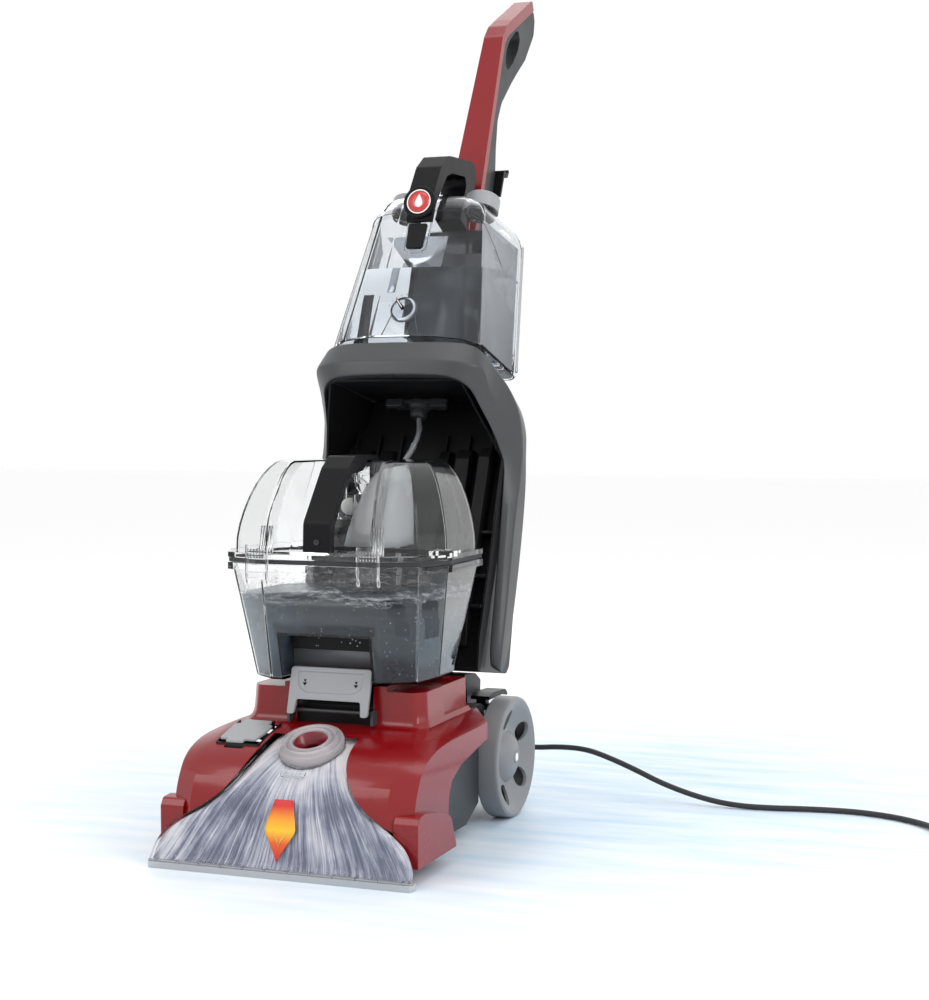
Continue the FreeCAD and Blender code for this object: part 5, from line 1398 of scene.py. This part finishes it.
def make_wheels():
    for side, label, body in ((1, "right", "wheel_r"), (-1, "left", "wheel_l")):
        place = aimed((side * 113, 370, 72.5), (side, 0, 0))
        profile = [(5.2, 2), (12, 2), (15, 19), (24, 15.6), (30, 10.6), (38, 10.6), (48, 13.8), (60, 20),
                   (65, 21.6),
                   (67, 14), (67, 0), (71, 0), (72.5, 2), (72.5, 22), (71.2, 25.6),
                   (68.6, 27), (65.4, 26.6), (60, 24.2), (48, 17.6), (38, 14.2), (31, 14.4), (28.6, 17),
                   (25, 20.4),
                   (19, 23.4), (12, 25), (8.4, 25.4), (7.4, 26.6), (5.2, 26.6)]
        wheel = raw_object("wheel_" + label, turned(lathe(profile, 96), place), BASE)
        for i in range(5):
            angle = math.radians(31) + i * TWO_PI / 5
            y, z = 370 + 47 * math.cos(angle), 72.5 + 47 * math.sin(angle)
            hole = [(y + 12 * math.cos(a), z + 12 * math.sin(a))
                    for a in (TWO_PI * k / 36 for k in range(36))]
            combine(wheel, slab(hole, "x", -150, 150), BASE)
        piece(wheel, wheel_grey(), body, ["wheel_" + label], edge=0.9, angle=28)
        cap = lathe([(0.01, 26.6), (5, 26.6), (5, 26.9), (0.01, 26.9)], 32)
        build("hub_cap_" + label, turned(cap, place), BASE, white_mark(), body, edge=0.2)
        shield = lathe([(19, 3.6), (63, 3.6), (63, 5.4), (19, 5.4)], 64)
        build("wheel_back_" + label, turned(shield, place), BASE, black(), body)


def make_brushes():
    for number in range(1, 6):
        x = (number - 3) * 48
        rng = random.Random(number)
        parts = []
        for radius, count in ((8, 8), (14, 14), (19.4, 20)):
            for k in range(count):
                angle = TWO_PI * k / count + 0.2 * radius
                base = (x + radius * math.cos(angle), 92 + radius * math.sin(angle))
                for _ in range(4):
                    foot = (base[0] + rng.uniform(-1, 1), base[1] + rng.uniform(-1, 1))
                    spread = 1.08 + rng.uniform(-0.03, 0.05)
                    tip = (x + (foot[0] - x) * spread, 92 + (foot[1] - 92) * spread)
                    parts.append(tube_along([(foot[0], foot[1], 30), (tip[0], tip[1], 2.4)], 0.55, 5))
        build("brush_tufts_%d" % number, joined(*parts), BASE,
              bristle_blue(), "brush_%d" % number,
              ["scrub_brush_%d" % number])
        teeth = []
        for k in range(40):
            angle = TWO_PI * (k - 0.25) / 40 + (0 if number % 2 else math.pi / 20)
            reach = 25.4 if k % 2 == 0 else 21.8
            teeth += [(reach * math.cos(angle + s), reach * math.sin(angle + s)) for s in (-0.022, 0.022)]
        core = joined(lathe([(0.01, 0), (21.6, 0), (22, 1), (22, 9.6), (0.01, 9.6)], 48),
                      lathe([(0.01, 9), (4, 9), (4, 21), (0.01, 21)], 24), slab(teeth, "z", 20.4, 28))
        build("brush_disc_%d" % number, turned(core, Matrix.Translation((x, 92, 29.6))), BASE, charcoal(),
              "brush_%d" % number, edge=0.3)


def make_cord_ends():
    x, _, z = CORD_ROUTE[0]
    profile = [(3.6, 36), (4.8, 36), (5.2, 33), (4.6, 31.6), (5.5, 29), (4.9, 27.6), (5.9, 25), (5.2, 23.6),
               (6.3, 21),
               (5.6, 19.6), (6.7, 17), (6, 15.6), (7.2, 13), (7.2, 5), (9, 4), (9, 0), (3.6, 0)]
    relief = turned(lathe(profile, 36), aimed((x, 436.3, z), (0, 1, 0)))
    build("strain_relief", relief, BASE, rubber(), "base", ["strain_relief"], edge=0.3)


def make_pieces():
    make_window()
    make_shield()
    make_lip()
    make_hood()
    make_door()
    make_lever()
    make_water()
    make_tub()
    make_lid()
    make_gasket()
    make_clips()
    make_bezel()
    make_bay()
    make_back_shell()
    make_clean_tank()
    make_carry_handle()
    make_dial()
    make_handle()
    make_wheels()
    make_brushes()
    make_cord_ends()


NODE_FINISHES = {
    red: ["hood_shell", "handle_front", "trigger"],
    black: ["tank_deck", "solution_pump", "door_hinge", "drive_pinion", "power_pedal", "recline_pedal",
            "cord_hook", "carry_handle", "badge_disc", "latch_tab", "tank_handle"],
    bay_black: ["bay_liner"],
    charcoal: ["nozzle_back", "base_chassis", "brush_housing", "rear_cover", "hose_port", "upright_shell",
               "pivot_yoke", "back_spine", "handle_rear"],
    mid_grey: ["bezel_frame", "release_bracket", "mix_dial"],
    light_grey: ["release_handle", "port_door", "cap_right", "cap_left"],
    wheel_grey: ["wheel_right", "wheel_left"],
    rubber: ["strain_relief", "power_cord", "cord_coil", "cord_plug", "tank_gasket"],
    steel: ["base_screws", "wheel_axle", "trigger_rod"],
    cast_metal: ["brush_motor", "suction_motor"],
    clear_shell: ["nozzle_window", "nozzle_lip", "tank_tub", "tank_lid", "latch_right", "latch_left",
                  "feed_tube"],
    smoky: ["clean_tank"],
}


def dress_nodes():
    for finish, names in NODE_FINISHES.items():
        for name in names:
            item = node(name)
            item.data.materials.clear()
            item.data.materials.append(finish())
    for number in range(1, 6):
        brush = node("scrub_brush_%d" % number)
        brush.data.materials.clear()
        brush.data.materials.append(bristle_blue())
    ball = node("float_ball")
    ball.data.materials.clear()
    ball.data.materials.append(moulded("float_white", (0.7, 0.7, 0.68), 0.4))


make_camera()
make_cord()
dress_nodes()
make_stage()
make_pieces()
for name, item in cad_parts.items():
    if name not in ("power_cord", "cord_coil", "feed_tube", "float_ball"):
        soften(item, 1.2)
